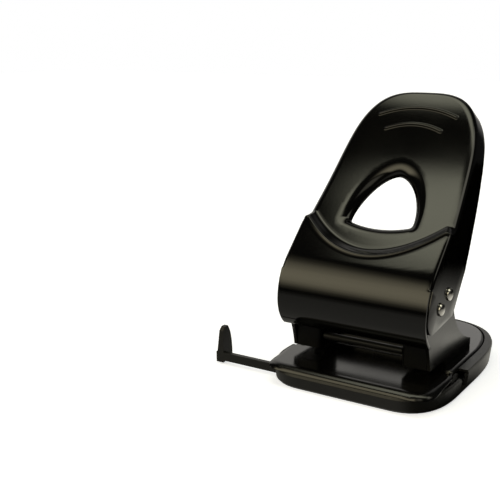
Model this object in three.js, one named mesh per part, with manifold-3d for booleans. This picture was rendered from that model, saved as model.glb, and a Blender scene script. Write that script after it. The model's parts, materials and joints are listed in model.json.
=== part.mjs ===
// Heavy duty two-hole punch, in millimetres.
// X runs to the user's right, Y away from the user and Z up.
// The origin is on the desk, midway between the two punches and straight below them.
import * as THREE from 'three';
import { mergeVertices } from 'three/addons/utils/BufferGeometryUtils.js';
import Module from 'manifold-3d';

const wasm = await Module();
wasm.setup();

// Clearances shared by every piece
const seam = 0.3; // between two pieces that touch on the real machine
const runGap = 0.35; // around a pin or bar that turns or slides
const overrun = 2; // how far a cutting tool reaches past what it cuts

// Punching geometry
const holePitch = 80; // between the centres of the two holes
const paperMargin = 12; // from a hole's centre to the paper's edge
const holeR = 3;
const throat = 5; // height of the paper slot
const pressAngle = THREE.MathUtils.degToRad(43);
const punchX = holePitch / 2;

// How far the frame reaches from a punch, to either side of it
const housingReach = 10;
const plateReach = 10.8;
const frameT = 2.3;
const frameOuterX = punchX + plateReach;
const frameInnerX = frameOuterX - frameT;

// Base plate
const deckTopZ = 15;
const deckT = 2.2;
const deckFrontY = -48.7;
const deckRearY = 112;
const deckSideMargin = 6.2; // outside the side plates
const deckJogW = 3.5;
const deckHalfW = frameOuterX + deckSideMargin;
const deckFrontHalfW = deckHalfW + deckJogW;
const baseShiftX = 2; // the base reaches a little further to the right of the punches
const deckJogY = -12;
const deckJogLength = 20;
const deckFrontR = 15;
const deckRearCornerW = 39;
const deckRearCornerL = 66;
const deckShoulderW = 3;
const frontShoulderW = 6.5; // the rim is rounder along the front
const deckRivetEdge = 2;
const deckRivetX = deckHalfW - deckRivetEdge; // from the middle of the base
const loopPoints = 96;
const cornerPullShare = 0.63;

// Plastic base under the base plate: a fixed front shell and a drawer behind it
const ledgeFrontW = 0.6;
const ledgeSideW = 7.6;
const ledgeRearW = 4;
const trayFrontY = deckFrontY - ledgeFrontW;
const trayRearY = deckRearY + ledgeRearW;
const trayWallZ = deckTopZ - deckT - seam - seam;
const frontDip = 1.6; // how far the wall drops towards the front
const frontDipFromY = -14;
const frontDipLength = 24;
const trayHalfW = deckHalfW + ledgeSideW;
const trayFrontCornerW = 31;
const trayFrontCornerL = 42;
const trayCornerExtraW = 20;
const trayCornerExtraL = 18;
const trayRearCornerW = deckRearCornerW + trayCornerExtraW;
const trayRearCornerL = deckRearCornerL + trayCornerExtraL;
const trayPullShare = 0.72;
const trayT = 2.2;
const trayFloorT = 2;
const trayDraft = 1.2;
const trayFootR = 1.6;
const wingTopZ = 14.4;
const ledgeT = 1.6;
const supportZ = deckTopZ - deckT - seam;
const postR = 4;
const postInset = 13;
const postX = deckHalfW - postInset;
const postY = -22;
const drawerSplitY = 12.4;
const drawerRibT = 1.5;
const railInset = 7;
const railX = deckHalfW - railInset;
const railT = 2;
const railFootW = 6;
const railFootT = 1.6;
const railRootL = 16;
const railEndY = 62;
const railBottomZ = trayFloorT + runGap;
const railFootTopZ = railBottomZ + railFootT;
const tongueClear = 3;
const tongueHalfW = railX - tongueClear;
const tongueFrontY = -11;
const tongueTopZ = 7.4;
const tongueT = 1.6;
const pocketR = 6;
const pocketY = 6;
const pocketZ = 4;

// Side plates of the frame
const plateFrontY = -17.3;
const plateBellyY = -26.8;
const plateBellyZ = 56;
const plateTopZ = 78;
const plateWaistY = 19;
const plateWaistZ = 60;
const footRearY = 60;
const footHeelH = 5.5;
const footFlangeW = 13;
const footFlangeFrontY = 17;
const footFlangeRearY = 57;

// Axles
const pivotY = -14;
const pivotZ = 61.9;
const driveY = 0.1;
const driveZ = 68.7;
const axleR = 3.5;
const rivetHeadR = 4.4;
const rivetHeadH = 2.3;
const sleeveR = 5.4;
const washerR = 7;
const washerT = 0.6;
const slotOverAngle = THREE.MathUtils.degToRad(1.6);

// Lever, one pressed sheet
const sheetT = 2.1;
const leverHalfW = frameOuterX + washerT + seam + seam + sheetT;
const lean = THREE.MathUtils.degToRad(46.5);
const apronFrontY = -37;
const apronBulgeZ = 58;
const apronUpperR = 40;
const apronLowerR = 25;
const apronLipZ = 38.3;
const apronSideGap = 0.7;
const ridgeZ = 110; // where the ridge meets the sheet's side bends
const slitDrop = 44; // from the ridge's ends down to the slit, along the sheet
const smileSag = 25.5;
const smileLowS = -27.3;
const stepDepth = 4;
const stepWidth = 7;
const beadRise = 0.9;
const lowerBendR = 2.8;
const upperBendR = 9.5;
const bendGrowS = 14;
const curlStartS = 20;
const curlR = 490;
const capStartS = 45;
const handleTopS = 118.2;
const sideTaperShare = 0.076;
const capPower = 3.25;
const flangeLowS = -30;
const flangeLowD = 49;
const flangeDepthShares = [1, 0.95, 0.9, 0.83, 0.735, 0.643, 0.55, 0.49, 0.455, 0.43, 0.4];
const fanInset = 8;
const flareAngle = THREE.MathUtils.degToRad(9); // of the flanges at the handle's top
const flareFromS = -10;
const flareFullS = 110;
const earR = 10;
const earRearY = 12.4;
const earBottomZ = 54;

// Opening in the lever
const apertureHalfW = 29.5;
const apertureMidS = 8;
const apertureTopS = 55.5;
const apertureBottomS = -7;
const apertureSag = 5;
const apertureCornerR = 6;
const rollR = 6.8;
const rollTopShare = 1.3;
const rollBottomShare = 1.2;
const archPinchShare = 0.3; // how much straighter the arch's sides get at the roll's end
const aperturePoints = 44;

// Finger beads near the handle's top
const fingerBeadR = 1.4;
const fingerBeadProud = 0.7;
const upperBeadS = 101.4;
const upperBeadHalfW = 28.8;
const upperBeadSag = 6.8;
const lowerBeadS = 87.2;
const lowerBeadHalfW = 20.5;
const lowerBeadSag = 4.8;

// Punch housings, guides and dies
const housingT = 2.1;
const housingInnerX = punchX - housingReach;
const housingFrontY = -17.5;
const housingRearY = 11;
const housingTopZ = 52;
const housingBendR = 4;
const stripperT = 3;
const guideTopZ = 38.2;
const guideT = 2.4;
const diePlateT = 3.2;
const diePlateEndMargin = 4;
const diePlateHalfL = deckRivetX + diePlateEndMargin;
const diePlateHalfW = 8;
const dieClear = 0.15;

// Punch pins and their springs
const tipAboveSlot = 1.2;
const pinHeadR = 4.4;
const pinHeadH = 2.6;
const headBelowAxle = 0.3;
const collarR = 5.6;
const collarT = 1.9;
const collarDrop = 3.1;
const springR = 4.9;
const springWireR = 0.55;
const springTurns = 7;
const springSteps = 8;
const springSides = 5;

// Tie rod between the two housings
const tieRodY = -12;
const tieRodZ = 28.6;
const tieRodR = 2.5;
const tieRodChamfer = 0.6;

// Paper stop
const stopTopZ = 30;
const stopT = 2;
const stopLipL = 8;
const stopBendR = 3;

// Paper guide
const guideBarFrontY = -34.6;
const guideBarT = 3.4;
const guideBarBottomZ = 2.4;
const guideBarTopZ = 8.6;
const guideInnerX = 10;
const guideFaceX = -100;
const guideStopW = 6.2;
const guideStopL = 12;
const guideStopTopZ = 27.8;
const guideStopTopShare = 0.5;
const guideStopFootZ = 0.8;
const guideRibX = [-48, -16];
const guideRibT = 2;

// Small rivets
const deckRivetR = 2.9;
const deckRivetH = 1.9;
const deckRivetShankR = 1.9;
const footRivetR = 3.4;
const footRivetH = 1.6;
const footRivetInset = 5;
const footRivetX = frameInnerX - footRivetInset;
const footRivetYs = [25, 48];

// Materials
function finish(color, roughness, metalness) {
  return new THREE.MeshStandardMaterial({ color, roughness, metalness });
}
const blackPaint = finish(0x121211, 0.18, 0.1);
const blackPlastic = finish(0x1a1a19, 0.6, 0);
const brightSteel = finish(0xb9b6b0, 0.25, 1);
const springSteel = finish(0x8d8c88, 0.35, 1);
const zincSteel = finish(0xa6a49c, 0.45, 1);
const nylon = finish(0xd8d4c8, 0.6, 0);

// Turns a closed geometry into a solid that can be joined and cut.
function solid(geometry) {
  const bare = geometry.clone();
  bare.deleteAttribute('normal');
  bare.deleteAttribute('uv');
  const merged = mergeVertices(bare);
  return new wasm.Manifold(new wasm.Mesh({
    numProp: 3,
    vertProperties: new Float32Array(merged.attributes.position.array),
    triVerts: new Uint32Array(merged.index.array),
  }));
}

function geometryOf(manifold) {
  const mesh = manifold.getMesh();
  const geometry = new THREE.BufferGeometry();
  geometry.setAttribute('position', new THREE.BufferAttribute(mesh.vertProperties, 3));
  geometry.setIndex(new THREE.BufferAttribute(mesh.triVerts, 1));
  geometry.computeVertexNormals();
  return geometry;
}

function facesToSolid(points, faces) {
  const geometry = new THREE.BufferGeometry();
  const flat = points.flatMap((p) => [p.x, p.y, p.z]);
  geometry.setAttribute('position', new THREE.Float32BufferAttribute(flat, 3));
  geometry.setIndex(faces);
  return solid(geometry);
}

// Outlines drawn in plan, as X and Y, are raised along Z.
function raised(shape, fromZ, toZ, curveSegments = 10) {
  const geometry = new THREE.ExtrudeGeometry(shape, { depth: toZ - fromZ, bevelEnabled: false, curveSegments });
  geometry.translate(0, 0, fromZ);
  return solid(geometry);
}

// Outlines drawn from the side, as Y and Z, run across X.
const sideToX = new THREE.Matrix4().makeBasis(
  new THREE.Vector3(0, 1, 0),
  new THREE.Vector3(0, 0, 1),
  new THREE.Vector3(1, 0, 0),
);
function across(shape, fromX, toX, curveSegments = 10) {
  const geometry = new THREE.ExtrudeGeometry(shape, { depth: toX - fromX, bevelEnabled: false, curveSegments });
  geometry.applyMatrix4(sideToX);
  geometry.translate(fromX, 0, 0);
  return solid(geometry);
}

function box(fromX, toX, fromY, toY, fromZ, toZ) {
  const geometry = new THREE.BoxGeometry(toX - fromX, toY - fromY, toZ - fromZ);
  geometry.translate((fromX + toX) / 2, (fromY + toY) / 2, (fromZ + toZ) / 2);
  return solid(geometry);
}

// A profile is a list of [radius, place along the axis] that starts and ends on the axis.
function turned(profile, segments = 20) {
  return new THREE.LatheGeometry(profile.map(([r, z]) => new THREE.Vector2(r, z)), segments);
}

function turnedAlongZ(profile, x, y, segments) {
  const geometry = turned(profile, segments);
  geometry.rotateX(Math.PI / 2);
  geometry.translate(x, y, 0);
  return solid(geometry);
}

function turnedAlongX(profile, y, z, segments) {
  const geometry = turned(profile, segments);
  geometry.rotateZ(-Math.PI / 2);
  geometry.translate(0, y, z);
  return solid(geometry);
}

function rodProfile(r, from, to) {
  return [[0, from], [r, from], [r, to], [0, to]];
}

// A hollow turned profile closes on itself.
function tubeProfile(innerR, outerR, from, to) {
  return [[innerR, from], [outerR, from], [outerR, to], [innerR, to], [innerR, from]];
}

// Points of a rivet's dome, from its rim up to the axis.
const domeAngleShares = [0, 0.2, 0.4, 0.6, 0.8, 1];
function dome(r, height, base) {
  return domeAngleShares.map((share) => {
    const angle = (share * Math.PI) / 2;
    return [r * Math.cos(angle), base + height * Math.sin(angle)];
  });
}

// Joins rings of equal point counts into one solid, with a flat cap at each end.
function loft(rings) {
  const count = rings[0].length;
  const faces = [];
  for (let k = 0; k + 1 < rings.length; k += 1) {
    for (let i = 0; i < count; i += 1) {
      const a = k * count + i;
      const b = k * count + ((i + 1) % count);
      faces.push(a, b, b + count, a, b + count, a + count);
    }
  }
  const last = (rings.length - 1) * count;
  const capOf = (ring) => THREE.ShapeUtils.triangulateShape(ring.map((p) => new THREE.Vector2(p.x, p.y)), []);
  for (const [a, b, c] of capOf(rings[0])) {
    faces.push(a, c, b);
  }
  for (const [a, b, c] of capOf(rings[rings.length - 1])) {
    faces.push(last + a, last + b, last + c);
  }
  return facesToSolid(rings.flat(), faces);
}

// A tube through small rings, its two ends closed by a fan
function tubeOf(rings) {
  const count = rings[0].length;
  const faces = [];
  for (let k = 0; k + 1 < rings.length; k += 1) {
    for (let i = 0; i < count; i += 1) {
      const a = k * count + i;
      const b = k * count + ((i + 1) % count);
      faces.push(a, b + count, b, a, a + count, b + count);
    }
  }
  const last = (rings.length - 1) * count;
  for (let i = 1; i + 1 < count; i += 1) {
    faces.push(0, i, i + 1);
    faces.push(last, last + i + 1, last + i);
  }
  const tube = facesToSolid(rings.flat(), faces);
  return tube.volume() > 0 ? tube : facesToSolid(rings.flat(), faces.reverse());
}

// Even points round a closed plan outline, counterclockwise.
function loopOf(shape, count) {
  const points = shape.getSpacedPoints(count).slice(0, count);
  return THREE.ShapeUtils.area(points) > 0 ? points : points.reverse();
}

// The same for an outline of the base, moved to where the base stands
function planLoop(shape) {
  return loopOf(shape, loopPoints).map((p) => p.setX(p.x + baseShiftX));
}

function insetLoop(points, inset) {
  return points.map((p, i) => {
    const before = points[(i + points.length - 1) % points.length];
    const after = points[(i + 1) % points.length];
    const along = after.clone().sub(before).normalize();
    const by = typeof inset === 'function' ? inset(p) : inset;
    return new THREE.Vector2(p.x - along.y * by, p.y + along.x * by);
  });
}

function ringAt(points, z) {
  return points.map((p) => new THREE.Vector3(p.x, p.y, typeof z === 'function' ? z(p) : z));
}

function smoothShare(share) {
  const held = THREE.MathUtils.clamp(share, 0, 1);
  return held * held * (3 - 2 * held);
}

// Base plate: a pressed sheet with a rolled rim that steps in beside the punches
function deckOutline() {
  const jogEndY = deckJogY + deckJogLength;
  const sideEndY = deckRearY - deckRearCornerL;
  const shape = new THREE.Shape();
  shape.moveTo(0, deckFrontY);
  shape.lineTo(deckFrontHalfW - deckFrontR, deckFrontY);
  shape.quadraticCurveTo(deckFrontHalfW, deckFrontY, deckFrontHalfW, deckFrontY + deckFrontR);
  shape.lineTo(deckFrontHalfW, deckJogY);
  shape.bezierCurveTo(
    deckFrontHalfW, deckJogY + deckJogLength / 2,
    deckHalfW, jogEndY - deckJogLength / 2,
    deckHalfW, jogEndY,
  );
  shape.lineTo(deckHalfW, sideEndY);
  shape.bezierCurveTo(
    deckHalfW, sideEndY + deckRearCornerL * cornerPullShare,
    deckHalfW - deckRearCornerW * (1 - cornerPullShare), deckRearY,
    deckHalfW - deckRearCornerW, deckRearY,
  );
  shape.lineTo(deckRearCornerW - deckHalfW, deckRearY);
  shape.bezierCurveTo(
    deckRearCornerW * (1 - cornerPullShare) - deckHalfW, deckRearY,
    -deckHalfW, sideEndY + deckRearCornerL * cornerPullShare,
    -deckHalfW, sideEndY,
  );
  shape.lineTo(-deckHalfW, jogEndY);
  shape.bezierCurveTo(
    -deckHalfW, jogEndY - deckJogLength / 2,
    -deckFrontHalfW, deckJogY + deckJogLength / 2,
    -deckFrontHalfW, deckJogY,
  );
  shape.lineTo(-deckFrontHalfW, deckFrontY + deckFrontR);
  shape.quadraticCurveTo(-deckFrontHalfW, deckFrontY, deckFrontR - deckFrontHalfW, deckFrontY);
  shape.closePath();
  return shape;
}

// 1 along the base's front edge and 0 behind the front corners
function frontShare(p) {
  return smoothShare((frontDipFromY - p.y) / frontDipLength);
}

function shellTopZ(p) {
  return trayWallZ - frontDip * frontShare(p);
}

// Rings of the base plate's rim, from its lower edge up over the shoulder, on its outer or inner face
const rimAngleShares = [0, 0.25, 0.5, 0.75, 1];
function rimRings(loop, inward) {
  const shoulderW = (p) => deckShoulderW + (frontShoulderW - deckShoulderW) * frontShare(p);
  return rimAngleShares.map((share) => {
    const angle = (share * Math.PI) / 2;
    const points = insetLoop(loop, (p) => inward + shoulderW(p) * (1 - Math.cos(angle)));
    const heights = loop.map((p) => {
      const rimZ = shellTopZ(p) + seam;
      return rimZ + (deckTopZ - inward - rimZ) * Math.sin(angle);
    });
    return points.map((p, i) => new THREE.Vector3(p.x, p.y, heights[i]));
  });
}

function basePlate() {
  const loop = planLoop(deckOutline());
  const underZ = deckTopZ - deckT;
  const plate = loft([...rimRings(loop, deckT).reverse(), ...rimRings(loop, 0)]);
  const holes = [];
  for (const side of [-1, 1]) {
    const dieX = side * punchX;
    holes.push(turnedAlongZ(rodProfile(holeR + runGap, underZ - overrun, deckTopZ + overrun), dieX, 0));
    const shankHole = rodProfile(deckRivetShankR + seam, underZ - overrun, deckTopZ + overrun);
    holes.push(turnedAlongZ(shankHole, baseShiftX + side * deckRivetX, 0));
    for (const y of footRivetYs) {
      holes.push(turnedAlongZ(shankHole, side * footRivetX, y));
    }
  }
  return holes.reduce((body, hole) => body.subtract(hole), plate);
}

// Plan outline of the plastic base, shared by its fixed front and its sliding rear
function baseOutline() {
  const frontEndY = trayFrontY + trayFrontCornerL;
  const rearStartY = trayRearY - trayRearCornerL;
  const shape = new THREE.Shape();
  shape.moveTo(0, trayFrontY);
  shape.lineTo(trayHalfW - trayFrontCornerW, trayFrontY);
  shape.bezierCurveTo(
    trayHalfW - trayFrontCornerW * (1 - cornerPullShare), trayFrontY,
    trayHalfW, frontEndY - trayFrontCornerL * cornerPullShare,
    trayHalfW, frontEndY,
  );
  shape.lineTo(trayHalfW, rearStartY);
  shape.bezierCurveTo(
    trayHalfW, rearStartY + trayRearCornerL * trayPullShare,
    trayHalfW - trayRearCornerW * (1 - trayPullShare), trayRearY,
    trayHalfW - trayRearCornerW, trayRearY,
  );
  shape.lineTo(trayRearCornerW - trayHalfW, trayRearY);
  shape.bezierCurveTo(
    trayRearCornerW * (1 - trayPullShare) - trayHalfW, trayRearY,
    -trayHalfW, rearStartY + trayRearCornerL * trayPullShare,
    -trayHalfW, rearStartY,
  );
  shape.lineTo(-trayHalfW, frontEndY);
  shape.bezierCurveTo(
    -trayHalfW, frontEndY - trayFrontCornerL * cornerPullShare,
    trayFrontCornerW * (1 - cornerPullShare) - trayHalfW, trayFrontY,
    trayFrontCornerW - trayHalfW, trayFrontY,
  );
  shape.closePath();
  return shape;
}

// An open pan on that outline, its wall turned in by a lip at the top
function pan(topZ, lipW) {
  const loop = planLoop(baseOutline());
  const below = (drop) => (p) => topZ(p) - drop;
  return loft([
    ringAt(insetLoop(loop, trayDraft + trayFootR), 0),
    ringAt(insetLoop(loop, trayDraft), trayFootR),
    ringAt(loop, below(trayFootR)),
    ringAt(insetLoop(loop, trayFootR / 2), topZ),
    ringAt(insetLoop(loop, lipW), topZ),
    ringAt(insetLoop(loop, lipW), below(ledgeT)),
    ringAt(insetLoop(loop, trayT), below(ledgeT + trayFootR)),
    ringAt(insetLoop(loop, trayDraft + trayT), trayFloorT),
  ]);
}

// Fixed front of the base: it carries the paper guide and the two rails that the drawer runs on.
function baseShell() {
  let shell = pan(shellTopZ, trayT + seam).intersect(
    box(baseShiftX - trayHalfW, baseShiftX + trayHalfW, trayFrontY, drawerSplitY, 0, trayWallZ),
  );
  for (const side of [-1, 1]) {
    const rail = (width, ...rest) => {
      const ends = [side * railX, side * (railX + width)].sort((a, b) => a - b);
      return box(...ends, ...rest);
    };
    const rearOfDieY = diePlateHalfW + seam;
    shell = shell.add(rail(railT, drawerSplitY - railRootL, drawerSplitY, trayFloorT / 2, tongueTopZ));
    shell = shell.add(rail(railT, rearOfDieY, railEndY, railBottomZ, supportZ));
    shell = shell.add(rail(railFootW, rearOfDieY, railEndY, railBottomZ, railFootTopZ));
    shell = shell.add(turnedAlongZ(rodProfile(postR, trayFloorT / 2, supportZ), side * postX, postY));
    const pocket = rodProfile(pocketR, pocketZ, deckTopZ);
    shell = shell.subtract(turnedAlongZ(pocket, baseShiftX + side * trayHalfW, pocketY, 24));
  }
  const barFrontY = guideBarFrontY - runGap;
  const barRearY = guideBarFrontY + guideBarT + runGap;
  const barTopZ = guideBarTopZ + runGap;
  for (const x of guideRibX) {
    const ribFrontY = barFrontY - guideRibT;
    const ribRearY = barRearY + guideRibT;
    shell = shell.add(box(x, x + guideRibT, ribFrontY, ribRearY, trayFloorT / 2, barTopZ + guideRibT));
  }
  const slotFromX = -trayHalfW - overrun;
  const slotToX = guideRibX[1] + guideRibT + overrun;
  return shell.subtract(box(slotFromX, slotToX, barFrontY, barRearY, guideBarBottomZ - runGap, barTopZ));
}

// Chip drawer: the rear of the base, with a tongue that reaches forward under both dies
function chipDrawer() {
  const frontY = drawerSplitY + seam;
  const loop = planLoop(baseOutline());
  const within = raised(new THREE.Shape(insetLoop(loop, trayT / 2)), 0, wingTopZ);
  const deck = new THREE.Shape(insetLoop(planLoop(deckOutline()), -seam));
  const ledge = raised(new THREE.Shape(insetLoop(loop, trayFootR / 2)), wingTopZ - ledgeT, wingTopZ);
  let drawer = pan(() => wingTopZ, trayT + seam).add(ledge.subtract(raised(deck, trayWallZ, deckTopZ)));
  const ribZ = railFootTopZ + runGap;
  for (const side of [-1, 1]) {
    const ribX = [side * (railX + railT + runGap * 2), baseShiftX + side * trayHalfW].sort((a, b) => a - b);
    drawer = drawer.add(box(...ribX, frontY, railEndY, ribZ, ribZ + drawerRibT).intersect(within));
  }
  drawer = drawer.intersect(
    box(baseShiftX - trayHalfW, baseShiftX + trayHalfW, frontY, trayRearY, 0, wingTopZ),
  );
  const floorZ = railBottomZ;
  const tongue = box(-tongueHalfW, tongueHalfW, tongueFrontY, frontY + tongueT, floorZ, tongueTopZ);
  const tongueHollow = box(
    tongueT - tongueHalfW, tongueHalfW - tongueT,
    tongueFrontY + tongueT, frontY + tongueT * 2,
    floorZ + tongueT, tongueTopZ + overrun,
  );
  const ramp = box(-tongueHalfW, tongueHalfW, frontY, frontY + tongueT, trayFloorT / 2, floorZ + tongueT);
  return drawer.add(tongue.subtract(tongueHollow)).add(ramp);
}

// Side plates: open at the front for the paper, flared to a long foot behind.
// Each table holds the pulls of one of the outline's four curves, in the order they are used.
const bellyPullShares = [0.3, 0.45, 0.35];
const crownPullShares = [0.65, 0.45];
const backPullShares = [0.75, 0.1, 0.35];
const flarePullShares = [0.08, 0.45, 0.4, 0.18];
function sidePlateOutline() {
  const throatZ = deckTopZ + throat;
  const soleZ = deckTopZ + seam;
  const heelZ = soleZ + footHeelH;
  const flareY = footRearY - plateWaistY;
  const flareZ = plateWaistZ - heelZ;
  const bellyReach = plateFrontY - plateBellyY;
  const shape = new THREE.Shape();
  shape.moveTo(plateFrontY, throatZ);
  const bellyH = plateBellyZ - throatZ;
  const [bellyOut, bellyUp, bellyDown] = bellyPullShares;
  shape.bezierCurveTo(
    plateFrontY - bellyReach * bellyOut, throatZ + bellyH * bellyUp,
    plateBellyY, plateBellyZ - bellyH * bellyDown,
    plateBellyY, plateBellyZ,
  );
  const [crownUp, crownBack] = crownPullShares;
  shape.bezierCurveTo(
    plateBellyY, plateBellyZ + (plateTopZ - plateBellyZ) * crownUp,
    plateBellyY + (driveY - plateBellyY) * crownBack, plateTopZ,
    driveY, plateTopZ,
  );
  const [backOut, backIn, backUp] = backPullShares;
  shape.bezierCurveTo(
    driveY + (plateWaistY - driveY) * backOut, plateTopZ,
    plateWaistY - (plateWaistY - driveY) * backIn, plateWaistZ + (plateTopZ - plateWaistZ) * backUp,
    plateWaistY, plateWaistZ,
  );
  const [flareOut, flareDown, flareFar, flareUp] = flarePullShares;
  shape.bezierCurveTo(
    plateWaistY + flareY * flareOut, plateWaistZ - flareZ * flareDown,
    plateWaistY + flareY * flareFar, heelZ + flareZ * flareUp,
    footRearY, heelZ,
  );
  shape.lineTo(footRearY, soleZ);
  shape.lineTo(paperMargin + seam, soleZ);
  shape.lineTo(paperMargin + seam, throatZ);
  shape.closePath();
  return shape;
}

function driveArc() {
  const armY = driveY - pivotY;
  const armZ = driveZ - pivotZ;
  return { r: Math.hypot(armY, armZ), angle: Math.atan2(armZ, armY) };
}

// A slot along the arc that the drive axle follows
function driveSlotOutline() {
  const arm = driveArc();
  const halfW = axleR + runGap;
  const from = arm.angle + slotOverAngle;
  const to = arm.angle - pressAngle - slotOverAngle;
  const at = (r, angle) => [pivotY + r * Math.cos(angle), pivotZ + r * Math.sin(angle)];
  const shape = new THREE.Shape();
  const [endY, endZ] = at(arm.r, to);
  const [startY, startZ] = at(arm.r, from);
  shape.absarc(pivotY, pivotZ, arm.r + halfW, to, from, false);
  shape.absarc(startY, startZ, halfW, from, from + Math.PI, false);
  shape.absarc(pivotY, pivotZ, arm.r - halfW, from, to, true);
  shape.absarc(endY, endZ, halfW, to + Math.PI, to + 2 * Math.PI, false);
  shape.closePath();
  return shape;
}

function sidePlate(side) {
  const from = side > 0 ? frameInnerX : -frameOuterX;
  const to = from + frameT;
  const plate = across(sidePlateOutline(), from, to, 12);
  const flange = box(
    side > 0 ? frameOuterX - footFlangeW : -frameOuterX,
    side > 0 ? frameOuterX : footFlangeW - frameOuterX,
    footFlangeFrontY, footFlangeRearY, deckTopZ + seam, deckTopZ + seam + frameT,
  );
  const pivotHole = turnedAlongX(rodProfile(axleR + runGap, from - overrun, to + overrun), pivotY, pivotZ);
  const slot = across(driveSlotOutline(), from - overrun, to + overrun, 8);
  let body = plate.add(flange).subtract(pivotHole).subtract(slot);
  for (const y of footRivetYs) {
    const hole = rodProfile(deckRivetShankR + seam, deckTopZ - overrun, deckTopZ + frameT + overrun);
    body = body.subtract(turnedAlongZ(hole, side * footRivetX, y));
  }
  return body;
}

// Lever
// Places on the sheet are given by x across it and s along it, from the ridge's ends upwards.
const lineTop = new THREE.Vector2(0, 0);
const lineBottomZ = apronBulgeZ + apronUpperR * Math.sin(lean);
const lineBottomY = apronFrontY + apronUpperR - apronUpperR * Math.cos(lean);
const lineBottomS = -(ridgeZ - lineBottomZ) / Math.cos(lean);
lineTop.set(lineBottomY - lineBottomS * Math.sin(lean), ridgeZ);

// Centre line of the sheet's outer face: its point, and the direction along it as an angle from upright
function sheetLine(s) {
  if (s < lineBottomS) {
    const angle = lean - (lineBottomS - s) / apronUpperR;
    return {
      y: apronFrontY + apronUpperR - apronUpperR * Math.cos(angle),
      z: apronBulgeZ + apronUpperR * Math.sin(angle),
      angle,
    };
  }
  if (s <= curlStartS) {
    return { y: lineTop.x + s * Math.sin(lean), z: lineTop.y + s * Math.cos(lean), angle: lean };
  }
  const turn = (s - curlStartS) / curlR;
  const startY = lineTop.x + curlStartS * Math.sin(lean);
  const startZ = lineTop.y + curlStartS * Math.cos(lean);
  return {
    y: startY + curlR * (Math.cos(lean - turn) - Math.cos(lean)),
    z: startZ + curlR * (Math.sin(lean) - Math.sin(lean - turn)),
    angle: lean - turn,
  };
}

// A point at x and s, lying deep behind the undented outer face
function onSheet(x, s, depth) {
  const line = sheetLine(s);
  return new THREE.Vector3(x, line.y + depth * Math.cos(line.angle), line.z - depth * Math.sin(line.angle));
}

function sideX(s) {
  const full = leverHalfW - Math.max(0, s) * sideTaperShare;
  const rise = Math.max(0, (s - capStartS) / (handleTopS - capStartS));
  return full * Math.max(0, 1 - rise ** capPower) ** (1 / capPower);
}

// How far the sheet steps back above the smile-shaped ridge, with a bead along the step
const beadMiddleShare = 0.5;
const beadSpreadShare = 0.22;
function stepBack(v) {
  const stepShare = (v - smileLowS) / stepWidth;
  const bead = beadRise * Math.exp(-(((stepShare - beadMiddleShare) / beadSpreadShare) ** 2));
  return stepDepth * smoothShare(stepShare) - bead;
}

function smileShare(v) {
  if (v < smileLowS) {
    return smoothShare((v + slitDrop) / (smileLowS + slitDrop));
  }
  return 1 - smoothShare((v - smileLowS - stepWidth) / (capStartS - smileLowS - stepWidth));
}

function bendR(s) {
  return lowerBendR + (upperBendR - lowerBendR) * smoothShare((s + bendGrowS / 2) / bendGrowS);
}

function flangeDepth(s) {
  const last = flangeDepthShares.length - 1;
  const place = THREE.MathUtils.clamp((s - flangeLowS) / (handleTopS - flangeLowS), 0, 1) * last;
  const below = Math.min(Math.floor(place), last - 1);
  const [from, to] = flangeDepthShares.slice(below, below + 2);
  return flangeLowD * (from + (to - from) * (place - below));
}

// The flanges stand square beside the axles and splay out a little towards the handle's top
function splay(s) {
  return flareAngle * smoothShare((s - flareFromS) / (flareFullS - flareFromS));
}

const flatColumns = 6;
const bendColumns = 5;
const flangeColumns = 2;

// One half row of the sheet, from the middle out over the bend and down the flange.
// inward is how far the row lies inside the outer face.
function halfRow(row, inward) {
  const { middleS, edgeX, edgeS, outX, outS, back } = row;
  const r = bendR(edgeS);
  const bendAngle = Math.PI / 2 - splay(edgeS);
  const tangentX = edgeX - r * outX;
  const tangentS = edgeS - r * outS;
  const points = [];
  for (let i = 0; i <= flatColumns; i += 1) {
    const share = i / flatColumns;
    const x = tangentX * share;
    const s = middleS + (tangentS - middleS) * share ** 2;
    points.push([x, s, back + inward]);
  }
  for (let i = 1; i <= bendColumns; i += 1) {
    const angle = (i / bendColumns) * bendAngle;
    const reach = (r - inward) * Math.sin(angle);
    points.push([
      tangentX + reach * outX,
      tangentS + reach * outS,
      back + r - (r - inward) * Math.cos(angle),
    ]);
  }
  const bendReach = (r - inward) * Math.sin(bendAngle);
  const bendDepth = back + r - (r - inward) * Math.cos(bendAngle);
  const rimDepth = Math.max(flangeDepth(edgeS), back + r + sheetT);
  for (let i = 1; i <= flangeColumns; i += 1) {
    const d = bendDepth + ((rimDepth - bendDepth) * i) / flangeColumns;
    const reach = bendReach + (d - bendDepth) / Math.tan(bendAngle);
    points.push([tangentX + reach * outX, tangentS + reach * outS, d]);
  }
  return points;
}

const apronRowShares = [0, 0.25, 0.5, 0.75, 1];
const stepRowShares = [0.2, 0.4, 0.5, 0.6, 0.8, 1];
const panelRowShares = [0.14, 0.28, 0.42, 0.56, 0.7, 0.85];
const capRowShares = [0, 0.12, 0.24, 0.36, 0.48, 0.6, 0.7, 0.8, 0.87, 0.93, 0.97, 1];

function straightRow(v) {
  const sag = smileSag * smileShare(v);
  const edgeS = v + sag;
  return { middleS: v, edgeX: sideX(edgeS), edgeS, outX: 1, outS: 0, back: stepBack(v) };
}

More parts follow.
